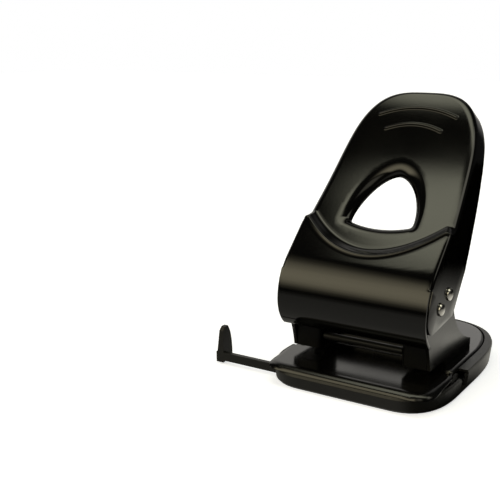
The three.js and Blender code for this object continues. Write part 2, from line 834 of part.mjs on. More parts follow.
const besideShare = 0.004; // how far to either side a direction along the cap is taken
const capCrowdShare = 1.5; // crowds the rows towards the cap's corners
function capRow(share) {
  const angle = (Math.PI / 2) * share ** capCrowdShare;
  const at = (a) => {
    const s = capStartS + (handleTopS - capStartS) * Math.sin(a) ** (2 / capPower);
    return [(leverHalfW - s * sideTaperShare) * Math.max(0, Math.cos(a)) ** (2 / capPower), s];
  };
  const [edgeX, edgeS] = at(angle);
  let outX = 1;
  let outS = 0;
  if (share > 0) {
    const [x0, s0] = at(angle - besideShare);
    const [x1, s1] = at(Math.min(angle + besideShare, Math.PI / 2));
    const length = Math.hypot(x1 - x0, s1 - s0);
    outX = share === 1 ? 0 : (s1 - s0) / length;
    outS = share === 1 ? 1 : (x0 - x1) / length;
  }
  const lastS = handleTopS - upperBendR - fanInset;
  const middleS = capStartS + (lastS - capStartS) * Math.sin((Math.PI / 2) * share);
  return { middleS, edgeX: share === 1 ? 0 : edgeX, edgeS, outX, outS, back: stepDepth };
}

function sheetRows() {
  const rows = [];
  for (const share of apronRowShares) {
    rows.push(straightRow(-slitDrop + (smileLowS + slitDrop) * share));
  }
  for (const share of stepRowShares) {
    rows.push(straightRow(smileLowS + stepWidth * share));
  }
  const panelS = smileLowS + stepWidth;
  for (const share of panelRowShares) {
    rows.push(straightRow(panelS + (capStartS - panelS) * share));
  }
  for (const share of capRowShares) {
    rows.push(capRow(share));
  }
  return rows;
}

// A whole row, left flange edge to right flange edge
function wholeRow(row, inward) {
  const half = halfRow(row, inward);
  const right = half.map(([x, s, d]) => onSheet(x, s, d));
  const left = half.slice(1).reverse().map(([x, s, d]) => onSheet(-x, s, d));
  return [...left, ...right];
}

// Closes two grids of points, outer and inner, into one sheet. The last rows are folded shut on themselves.
function closedSheet(outer, inner) {
  const rows = outer.length;
  const columns = outer[0].length;
  const points = [...outer.flat(), ...inner.flat()];
  const shift = rows * columns;
  const faces = [];
  const quad = (a, b, c, d) => faces.push(a, b, c, a, c, d);
  for (let k = 0; k + 1 < rows; k += 1) {
    for (let i = 0; i + 1 < columns; i += 1) {
      const a = k * columns + i;
      quad(a, a + 1, a + 1 + columns, a + columns);
      quad(shift + a, shift + a + columns, shift + a + 1 + columns, shift + a + 1);
    }
    const left = k * columns;
    const right = left + columns - 1;
    quad(left, left + columns, shift + left + columns, shift + left);
    quad(right, shift + right, shift + right + columns, right + columns);
  }
  for (let i = 0; i + 1 < columns; i += 1) {
    quad(i, shift + i, shift + i + 1, i + 1);
  }
  return facesToSolid(points, faces);
}

// Loop round the opening, inset from where the sheet starts to roll in
const archSteps = 32;
const cornerSagShare = 0.8;
function apertureLoop(inset) {
  const halfW = apertureHalfW - inset;
  const topS = apertureTopS - inset * rollTopShare;
  const bottomS = apertureBottomS + inset * rollBottomShare;
  const sag = apertureSag * (halfW / apertureHalfW);
  const cornerR = Math.max(apertureCornerR - inset / 2, apertureCornerR / 3);
  const power = 2 - archPinchShare * Math.max(0, inset / rollR);
  const shape = new THREE.Shape();
  shape.moveTo(0, bottomS);
  shape.quadraticCurveTo((halfW - cornerR) / 2, bottomS, halfW - cornerR, bottomS + sag * cornerSagShare);
  shape.quadraticCurveTo(halfW, bottomS + sag, halfW, bottomS + sag + cornerR);
  for (let i = 0; i <= archSteps; i += 1) {
    const angle = (i / archSteps) * Math.PI;
    const acrossShare = Math.sign(Math.cos(angle)) * Math.abs(Math.cos(angle)) ** (2 / power);
    const upShare = Math.sin(angle) ** (2 / power);
    shape.lineTo(halfW * acrossShare, apertureMidS + (topS - apertureMidS) * upShare);
  }
  shape.lineTo(-halfW, bottomS + sag + cornerR);
  shape.quadraticCurveTo(-halfW, bottomS + sag, cornerR - halfW, bottomS + sag * cornerSagShare);
  shape.quadraticCurveTo((cornerR - halfW) / 2, bottomS, 0, bottomS);
  return loopOf(shape, aperturePoints);
}

// Joins rings of points into a closed ring of sheet round the opening.
function closedRing(rings) {
  const count = rings[0].length;
  const faces = [];
  rings.forEach((ring, k) => {
    const next = (k + 1) % rings.length;
    for (let i = 0; i < count; i += 1) {
      const j = (i + 1) % count;
      faces.push(k * count + i, k * count + j, next * count + j);
      faces.push(k * count + i, next * count + j, next * count + i);
    }
  });
  return facesToSolid(rings.flat(), faces);
}

const rollAngleShares = [0, 0.3, 0.6, 0.85, 1];
const rollWallShare = 0.9; // the roll's wall against the sheet's
const rootDepthShares = [0.15, 0.04, 0.8]; // where the roll is rooted in the sheet
function apertureRoll() {
  const outer = rollAngleShares.map((share) => {
    const angle = (share * Math.PI) / 2;
    return { inset: rollR * Math.sin(angle), depth: rollR * (1 - Math.cos(angle)) };
  });
  const innerR = rollR - sheetT * rollWallShare;
  const inner = rollAngleShares.slice().reverse().map((share) => {
    const angle = (share * Math.PI) / 2;
    return { inset: innerR * Math.sin(angle), depth: rollR - innerR * Math.cos(angle) };
  });
  const [outerRoot, outerStart, innerRoot] = rootDepthShares.map((share) => sheetT * share);
  outer.unshift({ inset: -sheetT, depth: outerRoot });
  outer[1].depth = outerStart;
  inner.push({ inset: -sheetT, depth: innerRoot });
  const rings = [...outer, ...inner].map(({ inset, depth }) => (
    apertureLoop(inset).map((p) => onSheet(p.x, p.y, stepDepth + depth))
  ));
  return closedRing(rings);
}

function apertureCut() {
  const loop = apertureLoop(0);
  const front = loop.map((p) => onSheet(p.x, p.y, -rollR));
  const behind = loop.map((p) => onSheet(p.x, p.y, stepDepth + rollR * 2));
  const count = loop.length;
  const faces = [];
  for (let i = 0; i < count; i += 1) {
    const j = (i + 1) % count;
    faces.push(i, i + count, j + count, i, j + count, j);
  }
  for (const [a, b, c] of THREE.ShapeUtils.triangulateShape(loop, [])) {
    faces.push(a, b, c);
    faces.push(count + a, count + c, count + b);
  }
  return facesToSolid([...front, ...behind], faces);
}

// Raised bead across the handle, bowed upwards in the middle
const beadSteps = 20;
const beadSides = 8;
const beadBluntPower = 8;
const beadEndShare = 0.12;
function fingerBead(middleS, halfW, sag) {
  const rings = [];
  for (let k = 0; k <= beadSteps; k += 1) {
    const share = (2 * k) / beadSteps - 1;
    const x = halfW * share;
    const s = middleS - sag * share ** 2;
    const r = fingerBeadR * Math.sqrt(Math.max(1 - share ** beadBluntPower, beadEndShare));
    const ring = [];
    for (let i = 0; i < beadSides; i += 1) {
      const angle = (i / beadSides) * 2 * Math.PI;
      const depth = stepDepth + fingerBeadR - fingerBeadProud + r * Math.cos(angle);
      ring.push(onSheet(x, s + r * Math.sin(angle), depth));
    }
    rings.push(ring);
  }
  return tubeOf(rings);
}

// The apron below the slits is a plain curl of the same sheet.
function apronOutline() {
  const upperY = apronFrontY + apronUpperR;
  const lowerY = apronFrontY + apronLowerR;
  const topAngle = lean - (slitDrop + lineBottomS + overrun) / apronUpperR;
  const lipAngle = Math.asin((apronBulgeZ - apronLipZ) / apronLowerR);
  const shape = new THREE.Shape();
  shape.absarc(upperY, apronBulgeZ, apronUpperR, Math.PI - topAngle - sheetT / apronUpperR, Math.PI, false);
  shape.absarc(lowerY, apronBulgeZ, apronLowerR, Math.PI, Math.PI + lipAngle, false);
  shape.absarc(lowerY, apronBulgeZ, apronLowerR - sheetT, Math.PI + lipAngle, Math.PI, true);
  shape.absarc(upperY, apronBulgeZ, apronUpperR - sheetT, Math.PI, Math.PI - topAngle, true);
  shape.closePath();
  return shape;
}

// Ears: the flanges run on below the slits to carry both axles.
const earRootShares = [1.6, 1.9]; // how far the lobe's front edge stands back, in sheets
const earPullShares = [0.55, 0.75];
const earSoleShares = [0.15, 0.25];
function earOutline() {
  const slit = onSheet(0, -slitDrop, 0);
  const top = onSheet(0, smileLowS, 0);
  const rear = onSheet(0, smileLowS, flangeLowD);
  const inset = sheetT;
  const shape = new THREE.Shape();
  const [startShare, pullShare] = earRootShares;
  const [dropShare, riseShare] = earPullShares;
  const [soleDropShare, soleCurveShare] = earSoleShares;
  const soleZ = earBottomZ - earR * soleDropShare;
  shape.moveTo(slit.y + inset * startShare, slit.z - inset);
  shape.bezierCurveTo(
    slit.y + inset * pullShare, slit.z - (slit.z - pivotZ) * dropShare,
    pivotY - earR, pivotZ + earR * riseShare,
    pivotY - earR, pivotZ,
  );
  shape.absarc(pivotY, pivotZ, earR, Math.PI, 1.5 * Math.PI, false);
  shape.lineTo(earRearY - earR, soleZ);
  shape.quadraticCurveTo(earRearY - earR * soleCurveShare, soleZ, earRearY, earBottomZ);
  shape.lineTo(rear.y, rear.z);
  shape.lineTo(top.y + inset * 2, top.z - inset);
  shape.closePath();
  return shape;
}

function lever() {
  const rows = sheetRows();
  const outer = rows.map((row) => wholeRow(row, 0));
  const inner = rows.map((row) => wholeRow(row, sheetT));
  let body = closedSheet(outer, inner);
  const apronHalfW = leverHalfW - apronSideGap;
  body = body.add(across(apronOutline(), -apronHalfW, apronHalfW, 10));
  body = body.subtract(apertureCut()).add(apertureRoll());
  body = body.add(fingerBead(upperBeadS, upperBeadHalfW, upperBeadSag));
  body = body.add(fingerBead(lowerBeadS, lowerBeadHalfW, lowerBeadSag));
  for (const side of [-1, 1]) {
    const from = side > 0 ? leverHalfW - sheetT : -leverHalfW;
    body = body.add(across(earOutline(), from, from + sheetT, 12));
    for (const [y, z] of [[pivotY, pivotZ], [driveY, driveZ]]) {
      body = body.subtract(turnedAlongX(rodProfile(axleR + runGap, from - overrun, from + sheetT + overrun), y, z));
    }
  }
  return body;
}

// An axle riveted over at both ends
function riveted(r, halfL, y, z) {
  const right = dome(rivetHeadR, rivetHeadH, halfL);
  const left = right.map(([radius, x]) => [radius, -x]).reverse();
  const shank = [[r, -halfL], [r, halfL]];
  return turnedAlongX([...left, ...shank, ...right], y, z, 20);
}

// Punch housing: a strip bent into a channel, open towards the side plate
function housingOutline(side) {
  const innerX = housingInnerX;
  const outerX = frameInnerX - seam;
  const t = housingT;
  const r = housingBendR;
  const shape = new THREE.Shape();
  const at = (x, y) => [side * x, y];
  shape.moveTo(...at(outerX, housingFrontY));
  shape.lineTo(...at(innerX + r, housingFrontY));
  shape.quadraticCurveTo(...at(innerX, housingFrontY), ...at(innerX, housingFrontY + r));
  shape.lineTo(...at(innerX, housingRearY - r));
  shape.quadraticCurveTo(...at(innerX, housingRearY), ...at(innerX + r, housingRearY));
  shape.lineTo(...at(outerX, housingRearY));
  shape.lineTo(...at(outerX, housingRearY - t));
  shape.lineTo(...at(innerX + r, housingRearY - t));
  shape.quadraticCurveTo(...at(innerX + t, housingRearY - t), ...at(innerX + t, housingRearY - r));
  shape.lineTo(...at(innerX + t, housingFrontY + r));
  shape.quadraticCurveTo(...at(innerX + t, housingFrontY + t), ...at(innerX + r, housingFrontY + t));
  shape.lineTo(...at(outerX, housingFrontY + t));
  shape.closePath();
  return shape;
}

function guidePlate(side, bottomZ, topZ) {
  const innerX = housingInnerX + housingT + seam;
  const outerX = frameInnerX - seam;
  const frontY = housingFrontY + housingT + seam;
  const rearY = housingRearY - housingT - seam;
  const corner = housingBendR - housingT;
  const shape = new THREE.Shape();
  shape.moveTo(side * outerX, frontY);
  shape.lineTo(side * outerX, rearY);
  shape.lineTo(side * (innerX + corner), rearY);
  shape.lineTo(side * innerX, rearY - corner);
  shape.lineTo(side * innerX, frontY + corner);
  shape.lineTo(side * (innerX + corner), frontY);
  shape.closePath();
  const bore = rodProfile(holeR + runGap, bottomZ - overrun, topZ + overrun);
  return raised(shape, bottomZ, topZ).subtract(turnedAlongZ(bore, side * punchX, 0));
}

const slotTopZ = deckTopZ + throat;
const pinTipZ = slotTopZ + tipAboveSlot;
const pinTopZ = driveZ - axleR - headBelowAxle;
const collarTopZ = pinTopZ - pinHeadH - collarDrop + collarT;
const springBottomZ = guideTopZ + seam;
const springTopZ = collarTopZ - collarT - seam;

// Punch pin: a ground rod with a hollowed cutting end and a domed head
const pinHollowShare = 0.5;
const pinCrownShare = 0.7;
function punchPin(side) {
  const hollow = holeR * pinHollowShare;
  const profile = [
    [0, pinTipZ + hollow],
    [holeR, pinTipZ],
    [holeR, pinTopZ - pinHeadH],
    [pinHeadR, pinTopZ - pinHeadH],
    [pinHeadR, pinTopZ - pinHeadH / 3],
    [pinHeadR * pinCrownShare, pinTopZ],
    [0, pinTopZ],
  ];
  return turnedAlongZ(profile, side * punchX, 0, 20);
}

function collar(side) {
  const profile = tubeProfile(holeR + seam, collarR, collarTopZ - collarT, collarTopZ);
  return turnedAlongZ(profile, side * punchX, 0, 20);
}

// Return spring: one unbroken tube wound as a helix, its ends run straight for one tube diameter
function springPath() {
  const places = [];
  const straightEnd = (place, way) => {
    const along = new THREE.Vector3(-place.out.y, place.out.x, 0);
    return { at: place.at.clone().addScaledVector(along, way * springWireR * 2), out: place.out };
  };
  const steps = springTurns * springSteps;
  const fromZ = springBottomZ + springWireR;
  const toZ = springTopZ - springWireR;
  for (let i = 0; i <= steps; i += 1) {
    const turn = (i / springSteps) * 2 * Math.PI;
    const out = new THREE.Vector3(Math.cos(turn), Math.sin(turn), 0);
    const z = fromZ + ((toZ - fromZ) * i) / steps;
    places.push({ at: out.clone().multiplyScalar(springR).setZ(z), out });
  }
  return [straightEnd(places[0], -1), ...places, straightEnd(places[places.length - 1], 1)];
}

function returnSpring(side) {
  const path = springPath();
  const rings = path.map(({ at, out }) => {
    const ring = [];
    for (let i = 0; i < springSides; i += 1) {
      const angle = (i / springSides) * 2 * Math.PI;
      const p = at.clone().addScaledVector(out, springWireR * Math.cos(angle));
      p.z += springWireR * Math.sin(angle);
      ring.push(p);
    }
    return ring;
  });
  return tubeOf(rings).translate(side * punchX, 0, 0);
}

function springGap() {
  const path = springPath().map(({ at }) => at);
  let least = Infinity;
  for (let i = 0; i < path.length; i += 1) {
    for (let j = i + Math.ceil(springSteps / 2); j < path.length; j += 1) {
      least = Math.min(least, path[i].distanceTo(path[j]));
    }
  }
  return least - 2 * springWireR;
}
console.log(`return spring, least gap to itself: ${springGap().toFixed(2)} mm`);

// Die plate below the base plate, with the holes that the punches shear into
function diePlate() {
  const topZ = deckTopZ - deckT - seam;
  const bottomZ = topZ - diePlateT;
  const fromX = baseShiftX - diePlateHalfL;
  const toX = baseShiftX + diePlateHalfL;
  let plate = box(fromX, toX, -diePlateHalfW, diePlateHalfW, bottomZ, topZ);
  for (const side of [-1, 1]) {
    const bore = rodProfile(holeR + dieClear, bottomZ - overrun, topZ + overrun);
    plate = plate.subtract(turnedAlongZ(bore, side * punchX, 0, 24));
    const shank = rodProfile(deckRivetShankR + seam, bottomZ - overrun, topZ + overrun);
    plate = plate.subtract(turnedAlongZ(shank, baseShiftX + side * deckRivetX, 0, 16));
  }
  return plate;
}

// A small rivet: dome above, shank through the sheets, flat clench below
const clenchWidthShare = 0.85;
const clenchHeightShare = 0.6;
function smallRivet(x, y, headZ, footZ, headR, headH) {
  const clenchR = headR * clenchWidthShare;
  const clenchH = headH * clenchHeightShare;
  const profile = [
    [0, footZ - clenchH],
    [clenchR, footZ - clenchH],
    [clenchR, footZ],
    [deckRivetShankR, footZ],
    [deckRivetShankR, headZ],
    ...dome(headR, headH, headZ),
  ];
  return turnedAlongZ(profile, x, y, 16);
}

// Paper stop: a plate across the frame, its top folded back
function paperStopOutline() {
  const frontY = paperMargin + seam;
  const soleZ = deckTopZ + seam;
  const shape = new THREE.Shape();
  shape.moveTo(frontY, soleZ);
  shape.lineTo(frontY + stopT, soleZ);
  shape.lineTo(frontY + stopT, stopTopZ - stopBendR);
  shape.quadraticCurveTo(frontY + stopT, stopTopZ - stopT, frontY + stopBendR, stopTopZ - stopT);
  shape.lineTo(frontY + stopLipL, stopTopZ - stopT);
  shape.lineTo(frontY + stopLipL, stopTopZ);
  shape.lineTo(frontY + stopBendR, stopTopZ);
  shape.quadraticCurveTo(frontY, stopTopZ, frontY, stopTopZ - stopBendR);
  shape.closePath();
  return shape;
}

// Paper guide: a flat bar that slides in the tray, with an upright stop at its end
const guideBackShare = 0.75;
const guideCrownShare = 0.2;
const guideFaceShare = 0.9;
const guideCutShare = 1.5;
function paperGuide() {
  const outerX = guideFaceX - guideStopW;
  const rearY = guideBarFrontY + guideBarT;
  const bar = box(outerX, guideInnerX, guideBarFrontY, rearY, guideBarBottomZ, guideBarTopZ);
  const side = new THREE.Shape();
  side.moveTo(guideBarFrontY, guideStopFootZ);
  side.lineTo(guideBarFrontY + guideStopL, guideBarBottomZ);
  side.quadraticCurveTo(
    guideBarFrontY + guideStopL, guideStopTopZ * guideBackShare,
    guideBarFrontY + guideStopL * guideStopTopShare, guideStopTopZ,
  );
  side.lineTo(guideBarFrontY + guideStopL * guideCrownShare, guideStopTopZ);
  side.lineTo(guideBarFrontY, guideStopTopZ * guideFaceShare);
  side.closePath();
  const front = new THREE.Shape();
  front.moveTo(outerX, guideStopFootZ);
  front.lineTo(guideFaceX, guideStopFootZ);
  front.lineTo(guideFaceX, guideStopTopZ);
  front.lineTo(guideFaceX - guideStopW * guideStopTopShare, guideStopTopZ);
  front.closePath();
  const frontGeometry = new THREE.ExtrudeGeometry(front, { depth: guideStopL * 2, bevelEnabled: false });
  frontGeometry.rotateX(Math.PI / 2);
  frontGeometry.translate(0, guideBarFrontY + guideStopL * guideCutShare, 0);
  const stop = across(side, outerX, guideFaceX, 6).intersect(solid(frontGeometry));
  return bar.add(stop);
}

function tieRod() {
  const end = housingInnerX - seam;
  const neckR = tieRodR - tieRodChamfer;
  const left = [[0, -end], [neckR, -end], [tieRodR, tieRodChamfer - end]];
  const right = left.map(([r, x]) => [r, -x]).reverse();
  return turnedAlongX([...left, ...right], tieRodY, tieRodZ, 18);
}

// The whole machine
const punch = new THREE.Group();
function place(name, manifold, material, group = punch) {
  const mesh = new THREE.Mesh(geometryOf(manifold), material);
  mesh.name = name;
  group.add(mesh);
}

place('base_shell', baseShell(), blackPlastic);
place('chip_drawer', chipDrawer(), blackPlastic);
place('base_plate', basePlate(), blackPaint);
place('die_plate', diePlate(), zincSteel);
place('paper_stop', across(paperStopOutline(), seam - frameInnerX, frameInnerX - seam, 6), blackPaint);
place('tie_rod', tieRod(), brightSteel);
place('paper_guide', paperGuide(), blackPlastic);
place('lever', lever(), blackPaint);

const headX = leverHalfW + seam;
place('pivot_axle', riveted(axleR, headX, pivotY, pivotZ), brightSteel);
place('drive_axle', riveted(axleR, headX, driveY, driveZ), brightSteel);
const sleeve = tubeProfile(axleR + seam, sleeveR, seam - frameInnerX, frameInnerX - seam);
place('pivot_sleeve', turnedAlongX(sleeve, pivotY, pivotZ, 20), zincSteel);

for (const [side, label] of [[-1, 'left'], [1, 'right']]) {
  place(`side_plate_${label}`, sidePlate(side), blackPaint);
  place(`punch_housing_${label}`, raised(housingOutline(side), slotTopZ, housingTopZ, 5), blackPaint);
  place(`stripper_${label}`, guidePlate(side, slotTopZ + seam, slotTopZ + seam + stripperT), zincSteel);
  place(`upper_guide_${label}`, guidePlate(side, guideTopZ - guideT, guideTopZ), zincSteel);
  place(`punch_pin_${label}`, punchPin(side), brightSteel);
  place(`spring_collar_${label}`, collar(side), zincSteel);
  place(`return_spring_${label}`, returnSpring(side), springSteel);

  const washerFrom = frameOuterX + seam;
  const washerAlong = side > 0 ? [washerFrom, washerFrom + washerT] : [-washerFrom - washerT, -washerFrom];
  const washer = tubeProfile(axleR + seam, washerR, ...washerAlong);
  place(`pivot_washer_${label}`, turnedAlongX(washer, pivotY, pivotZ, 20), nylon);

  const dieUnderZ = deckTopZ - deckT - seam - diePlateT - seam;
  const rivetX = baseShiftX + side * deckRivetX;
  const deckRivet = smallRivet(rivetX, 0, deckTopZ + seam, dieUnderZ, deckRivetR, deckRivetH);
  place(`deck_rivet_${label}`, deckRivet, brightSteel);
  footRivetYs.forEach((y, i) => {
    const headZ = deckTopZ + seam + frameT + seam;
    const footZ = deckTopZ - deckT - seam;
    const rivet = smallRivet(side * footRivetX, y, headZ, footZ, footRivetR, footRivetH);
    place(`foot_rivet_${label}_${i === 0 ? 'front' : 'rear'}`, rivet, brightSteel);
  });
}

export default punch;
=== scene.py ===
import json
import math

import bmesh
import bpy
from mathutils import Matrix, Vector


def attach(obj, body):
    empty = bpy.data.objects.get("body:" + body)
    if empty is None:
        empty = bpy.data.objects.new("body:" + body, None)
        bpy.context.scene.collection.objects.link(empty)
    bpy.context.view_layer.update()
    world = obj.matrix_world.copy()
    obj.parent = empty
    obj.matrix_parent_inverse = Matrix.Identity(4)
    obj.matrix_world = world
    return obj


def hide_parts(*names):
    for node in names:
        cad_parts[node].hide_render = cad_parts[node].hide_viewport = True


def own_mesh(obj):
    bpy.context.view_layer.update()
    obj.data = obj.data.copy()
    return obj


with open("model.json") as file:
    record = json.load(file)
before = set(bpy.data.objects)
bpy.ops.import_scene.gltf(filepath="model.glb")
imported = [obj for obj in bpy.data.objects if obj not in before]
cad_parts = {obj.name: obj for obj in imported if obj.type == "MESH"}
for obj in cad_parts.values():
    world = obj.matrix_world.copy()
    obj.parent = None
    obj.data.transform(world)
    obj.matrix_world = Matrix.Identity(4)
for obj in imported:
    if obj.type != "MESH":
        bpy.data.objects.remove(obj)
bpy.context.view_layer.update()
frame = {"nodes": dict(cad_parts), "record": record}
mm = 0.001
pureWhite = (1, 1, 1, 1)
print("frame loaded:", len(frame["nodes"]), "nodes")

# Camera and studio: the camera's place and lens come from a fit to the photograph
camera = {
    "place": (242.81, -534.03, 232.32),
    "turn": (76.339, 0.0, 32.642),
    "lens": 63.634,
    "sensor": 36.0,
    "nearClip": 0.01,
}
cameraData = bpy.data.cameras.new("camera")
cameraData.lens = camera["lens"]
cameraData.sensor_width = camera["sensor"]
cameraData.clip_start = camera["nearClip"]
cameraObject = bpy.data.objects.new("camera", cameraData)
cameraObject.location = [c * mm for c in camera["place"]]
cameraObject.rotation_euler = [math.radians(a) for a in camera["turn"]]
bpy.context.scene.collection.objects.link(cameraObject)
bpy.context.scene.camera = cameraObject

studio = {
    "floorSize": 8.0,
    "floorDrop": 0.0002,
    "floorColour": (0.8, 0.83, 0.94, 1),
    "floorGlow": 0.64,
    # A painted pool of light: how bright the floor looks in the gloss, by the distance from its brightest place
    "poolCentre": (0.064, 0.1, 0.0),
    "poolColour": (1.0, 0.97, 0.86, 1),
    "poolStops": [
        (0.0, 1.15), (0.015, 1.05), (0.035, 0.68), (0.07, 0.62), (0.13, 0.42), (0.2, 0.3), (0.5, 0.26),
        (0.9, 0.12), (2.0, 0.05)],
    "poolRearY": (0.16, 0.34),
    # Painted shade: beside the tray's right front the floor's gloss is darkened for the object's own shadow,
    # soft on all four sides
    "shadeLeftX": (0.04, 0.056),
    "shadeRightX": (0.072, 0.084),
    "shadeFrontY": (-0.09, -0.05),
    "shadeRearY": (0.02, 0.075),
    "base": 0.02,
    "keyHeights": [  # brightness of the front softbox by height in degrees
        (2, 0), (7, 0.12), (11, 0.36), (15, 0.64), (20, 0.9), (28, 1), (36, 0.92), (42, 0.7), (46, 0.54),
        (49, 0.38), (52, 0.2), (55, 0.09), (59, 0)],
    "key": {"turn": (-62, 12), "soft": 6, "colour": (1.0, 0.9, 0.62), "strength": 2.4},
    # The overhead panel is round in front; its places are slopes, sideways and forward from straight above
    "overhead": {
        "centre": (-0.23, -1.37, 0), "radius": 1.607, "soft": 0.036, "across": (-0.47, 1.5),
        "acrossSoft": 0.06, "behind": -0.22, "behindSoft": 0.25, "leastUp": 0.05, "fade": (0.25, 0.35),
        "colour": (1.0, 0.99, 0.76), "strength": 2.7},
    # Each panel runs from and to an azimuth (0 towards the front, minus to the left) and a height.
    # The last two meet behind the object.
    "panels": [
        {"turn": (95, 121), "height": (27, 52), "soft": 5, "colour": (1.0, 0.97, 0.8), "strength": 1.5},
        {"turn": (22, 52), "height": (24, 52), "soft": 6, "colour": (1.0, 0.95, 0.75), "strength": 0.7},
        {"turn": (-160, -108), "height": (0, 46), "soft": 11, "colour": (1.0, 0.97, 0.9), "strength": 0.75},
        {"turn": (-172, -160), "height": (-90, 42), "soft": 5, "colour": (1.0, 0.97, 0.92), "strength": 0.75},
        {"turn": (-400, -172), "height": (-90, 58), "soft": 5, "colour": (1.0, 0.97, 0.92), "strength": 0.2},
        {"turn": (172, 400), "height": (-90, 58), "soft": 5, "colour": (1.0, 0.97, 0.92), "strength": 0.2},
    ],
}


def meshObject(name, bm):
    mesh = bpy.data.meshes.new(name)
    bm.to_mesh(mesh)
    bm.free()
    made = bpy.data.objects.new(name, mesh)
    bpy.context.scene.collection.objects.link(made)
    return made


def nodeTree(owner):
    owner.use_nodes = True
    tree = owner.node_tree
    tree.nodes.clear()
    return tree, tree.nodes, tree.links


def worked(tree, operation, first, second=None):
    # One Math node; its inputs are sockets or plain numbers
    node = tree.nodes.new("ShaderNodeMath")
    node.operation = operation
    for slot, value in enumerate((first, second)):
        if isinstance(value, (int, float)):
            node.inputs[slot].default_value = value
        elif value is not None:
            tree.links.new(value, node.inputs[slot])
    return node.outputs[0]


def product(tree, *factors):
    result = factors[0]
    for factor in factors[1:]:
        result = worked(tree, "MULTIPLY", result, factor)
    return result


def opposite(tree, value):
    return worked(tree, "SUBTRACT", 1.0, value)


def rise(tree, value, start, stop):
    # 0 below start and 1 above stop, smooth between
    node = tree.nodes.new("ShaderNodeMapRange")
    node.interpolation_type = "SMOOTHSTEP"
    node.inputs["From Min"].default_value = start
    node.inputs["From Max"].default_value = stop
    tree.links.new(value, node.inputs["Value"])
    return node.outputs["Result"]


def window(tree, value, span, soft):
    # 1 inside the span, with soft edges
    inside = rise(tree, value, span[0] - soft, span[0] + soft)
    beyond = rise(tree, value, span[1] - soft, span[1] + soft)
    return product(tree, inside, opposite(tree, beyond))


def distanceFrom(tree, place, centre):
    node = tree.nodes.new("ShaderNodeVectorMath")
    node.operation = "DISTANCE"
    node.inputs[1].default_value = centre
    tree.links.new(place, node.inputs[0])
    return node.outputs["Value"]


def softRamp(tree, value, stops):
    # Brightness at a value, through stops of (value, brightness)
    node = tree.nodes.new("ShaderNodeValToRGB")
    node.color_ramp.interpolation = "EASE"
    low, high = stops[0][0], stops[-1][0]
    share = worked(tree, "DIVIDE", worked(tree, "SUBTRACT", value, float(low)), float(high - low))
    tree.links.new(share, node.inputs[0])
    elements = node.color_ramp.elements
    for number, (place, level) in enumerate(stops):
        if number == 0:
            stop = elements[0]
            stop.position = 0
        elif number == len(stops) - 1:
            stop = elements[len(elements) - 1]
            stop.position = 1
        else:
            stop = elements.new((place - low) / (high - low))
        stop.color = (level, level, level, 1)
    return node.outputs[0]


def seenDirectly(tree, path):
    # 1 for camera and transmission rays
    return worked(tree, "MAXIMUM", path.outputs["Is Camera Ray"], path.outputs["Is Transmission Ray"])


def glowing(tree, kind, colour, strength):
    # An Emission or Background node; its strength is a socket or a plain number
    node = tree.nodes.new(kind)
    node.inputs["Color"].default_value = colour
    if isinstance(strength, (int, float)):
        node.inputs["Strength"].default_value = strength
    else:
        tree.links.new(strength, node.inputs["Strength"])
    return node.outputs[0]


def addedTo(tree, first, second):
    both = tree.nodes.new("ShaderNodeAddShader")
    tree.links.new(first, both.inputs[0])
    tree.links.new(second, both.inputs[1])
    return both.outputs[0]


def mixed(tree, share, first, second):
    node = tree.nodes.new("ShaderNodeMixShader")
    for slot, socket in enumerate((share, first, second)):
        tree.links.new(socket, node.inputs[slot])
    return node.outputs[0]


def overheadShape(tree, split):
    # 1 where the overhead panel is seen, by the slopes of the direction
    size = studio["overhead"]
    up = worked(tree, "MAXIMUM", split.outputs["Z"], size["leastUp"])
    sideways = worked(tree, "DIVIDE", split.outputs["X"], up)
    forward = worked(tree, "DIVIDE", worked(tree, "MULTIPLY", split.outputs["Y"], -1.0), up)
    join = tree.nodes.new("ShaderNodeCombineXYZ")
    tree.links.new(sideways, join.inputs[0])
    tree.links.new(forward, join.inputs[1])
    away = distanceFrom(tree, join.outputs[0], size["centre"])
    outside = rise(tree, away, size["radius"] - size["soft"], size["radius"] + size["soft"])
    return product(
        tree, opposite(tree, outside), window(tree, sideways, size["across"], size["acrossSoft"]),
        rise(tree, forward, size["behind"] - size["behindSoft"], size["behind"] + size["behindSoft"]),
        rise(tree, split.outputs["Z"], *size["fade"]))


def makeWorld():
    # White behind the object; its light and its reflections come from soft panels round it
    world = bpy.data.worlds.new("studio")
    tree, nodes, links = nodeTree(world)
    output = nodes.new("ShaderNodeOutputWorld")
    path = nodes.new("ShaderNodeLightPath")
    place = nodes.new("ShaderNodeTexCoord")
    split = nodes.new("ShaderNodeSeparateXYZ")
    links.new(place.outputs["Generated"], split.inputs[0])
    forward = worked(tree, "MULTIPLY", split.outputs["Y"], -1.0)
    turn = worked(tree, "DEGREES", worked(tree, "ARCTAN2", split.outputs["X"], forward))
    height = worked(tree, "DEGREES", worked(tree, "ARCSINE", split.outputs["Z"]))
    key = studio["key"]
    keyShape = product(
        tree, window(tree, turn, key["turn"], key["soft"]), softRamp(tree, height, studio["keyHeights"]))
    lit = [(keyShape, key), (overheadShape(tree, split), studio["overhead"])]
    for panel in studio["panels"]:
        across = window(tree, turn, panel["turn"], panel["soft"])
        upwards = window(tree, height, panel["height"], panel["soft"])
        lit.append((product(tree, across, upwards), panel))
    light = glowing(tree, "ShaderNodeBackground", pureWhite, studio["base"])
    for shape, panel in lit:
        strength = product(tree, shape, panel["strength"])
        light = addedTo(tree, light, glowing(tree, "ShaderNodeBackground", (*panel["colour"], 1), strength))
    white = glowing(tree, "ShaderNodeBackground", pureWhite, 1.0)
    links.new(mixed(tree, seenDirectly(tree, path), light, white), output.inputs["Surface"])
    bpy.context.scene.world = world


